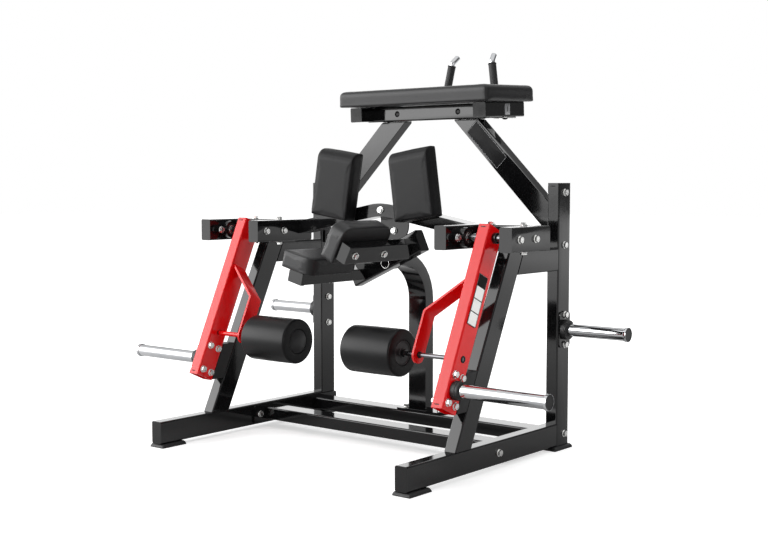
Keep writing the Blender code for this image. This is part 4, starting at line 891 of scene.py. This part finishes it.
def borderOn(name, face, mat, body, slot, half, corner, inset, width, low, high):
    # a printed line: four rings of a rounded outline, low and high at its outer and inner side
    rings = []
    for drawn, height in ((0, low), (0, high), (width, high), (width, low), (0, low)):
        drawn += inset
        outline = roundedOutline(half[0] - drawn, half[1] - drawn, (corner - drawn,) * 4)
        rings.append(np.column_stack([outline, np.full(len(outline), height)]))
    finishMesh(name, meshFrom(name, [placed(np.array(rings), face)]), mat, body, 30.0)


placard = {"spot": (0.0265, -0.007, -0.2315), "half": (0.027, 0.0905), "corner": 0.004,
           "film": (-0.0002, 0.0012, 0.0003), "panel": (0.0234, 0.0212, 0.0015),
           "panels": (-0.0662, -0.0202, 0.0258), "panelFilm": (0.0010, 0.00135, 0.0001),
           "lineIn": 0.0011, "lineCorner": 0.0041, "lineWide": 0.0006, "line": (0.0011, 0.0013)}
face = standing(placard["spot"], (0, 1, 0), (1, 0, 0), swings["R"])
plateOn("placard_R", face, blackFilm, "arm_right",
        [(0, 0, *placard["half"], placard["corner"], *placard["film"])])
plateOn("placard_panels_R", face, whiteFilm, "arm_right",
        [(0, y, *placard["panel"], *placard["panelFilm"]) for y in placard["panels"]])
borderOn("placard_line_R", face, greyFilm, "arm_right", "collar_plastic", placard["half"],
         placard["lineCorner"], placard["lineIn"], placard["lineWide"], *placard["line"])

signPlate = {"spot": (0.280, 0.0155, 1.1477), "half": (0.1025, 0.034), "corner": 0.006,
             "filmHalf": (0.1017, 0.0332), "filmCorner": 0.0052, "film": (-0.0003, 0.0006, 0.0002),
             "lineIn": 0.0028, "lineWide": 0.0012, "line": (0.0005, 0.0008)}
face = standing(signPlate["spot"], (1, 0, -1), (0, -1, 0), ground)
plateOn("sign_plate_film", face, blackFilm, "machine_frame",
        [(0, 0, *signPlate["filmHalf"], signPlate["filmCorner"], *signPlate["film"])])
borderOn("sign_plate_line", face, greyFilm, "machine_frame", "collar_plastic", signPlate["half"],
         signPlate["corner"], signPlate["lineIn"], signPlate["lineWide"], *signPlate["line"])

# half sizes, corner, lower and upper height and edge of a drain slot's flat sheet of painted shade,
# and where the slots are
drain = {"slot": (0.010, 0.0017, 0.0016, -0.0004, 0.0002, 0.00005), "armX": -0.002,
         "armY": -0.0425, "armZ": (0.0255, -0.611), "postX": 0.5878, "postZ": 0.988}
for side, sign, armBody in sides:
    for count, z in enumerate(drain["armZ"]):
        face = standing((drain["armX"], drain["armY"], z), (1, 0, 0), (0, -1, 0), swings[side])
        plateOn("arm_slot_%d_%s" % (count, side), face, slotShade, armBody,
                [(0, 0, *drain["slot"])])
    face = standing((sign * drain["postX"], 0.0, drain["postZ"]), (1, 0, 0), (0, -1, 0), ground)
    plateOn("post_slot_" + side, face, slotShade, "machine_frame",
            [(0, 0, *drain["slot"])])

# the clamp on the top frame's right rail, its slot drawn as a flat sheet of painted shade, and the
# plate and knob under it
clamp = {"spot": (0.334, 0.0725, 1.284), "lean": 3, "half": (0.0165, 0.0215),
         "plate": (0.002, -0.0003, 0.003, 0.0006),
         "slot": (0.0025, 0.010, 0.0024, 0.0026, 0.0031, 0.00005),
         "underSpot": (0.305, 0.103, 1.2545),
         "underPlate": (0.029, 0.035, 0.002, -0.0020, 0.0048, 0.0006),
         "knobSpot": (0.327, 0.0701, 1.2495)}
rise, run = math.sin(math.radians(clamp["lean"])), math.cos(math.radians(clamp["lean"]))
face = standing(clamp["spot"], (0, run, rise), (1, 0, 0), ground)
plateOn("rail_clamp", face, dullZinc, "machine_frame",
        [(0, 0, *clamp["half"], *clamp["plate"])])
plateOn("rail_clamp_slot", face, slotShade, "machine_frame",
        [(0, 0, *clamp["slot"])])
plateOn("rail_under_plate", standing(clamp["underSpot"], (1, 0, 0), (0, rise, -run), ground), zinc,
        "machine_frame", [(0, 0, *clamp["underPlate"])])
knob = filleted([(0.0, 0.006), (0.009, 0.0045), (0.011, -0.0005), (0.0, -0.0005)],
                [0.004, 0.0006])
knobAt = placed(ringGrid(knob, 40, axis="Z"), ground @ Matrix.Translation(clamp["knobSpot"]) @
                Matrix.Rotation(math.pi, 4, "X"))
finishMesh("rail_clamp_knob", meshFrom("knob", [knobAt]), plastic, "machine_frame")

plug = {"x": 0.151, "y": 0.0074, "z": 1.278}
dome = filleted([(0.0, -0.003), (0.0085, -0.0026), (0.0105, 0.0005), (0.0, 0.0005)],
                [0.004, 0.0006])
finishMesh("beam_plugs", meshFrom("plugs", [
    ringGrid(dome, 40, (way * plug["x"], plug["y"] + shiftY, plug["z"]), "Y") for way in (-1, 1)]),
    plastic, "machine_frame")
print("labels, slots and plugs made")
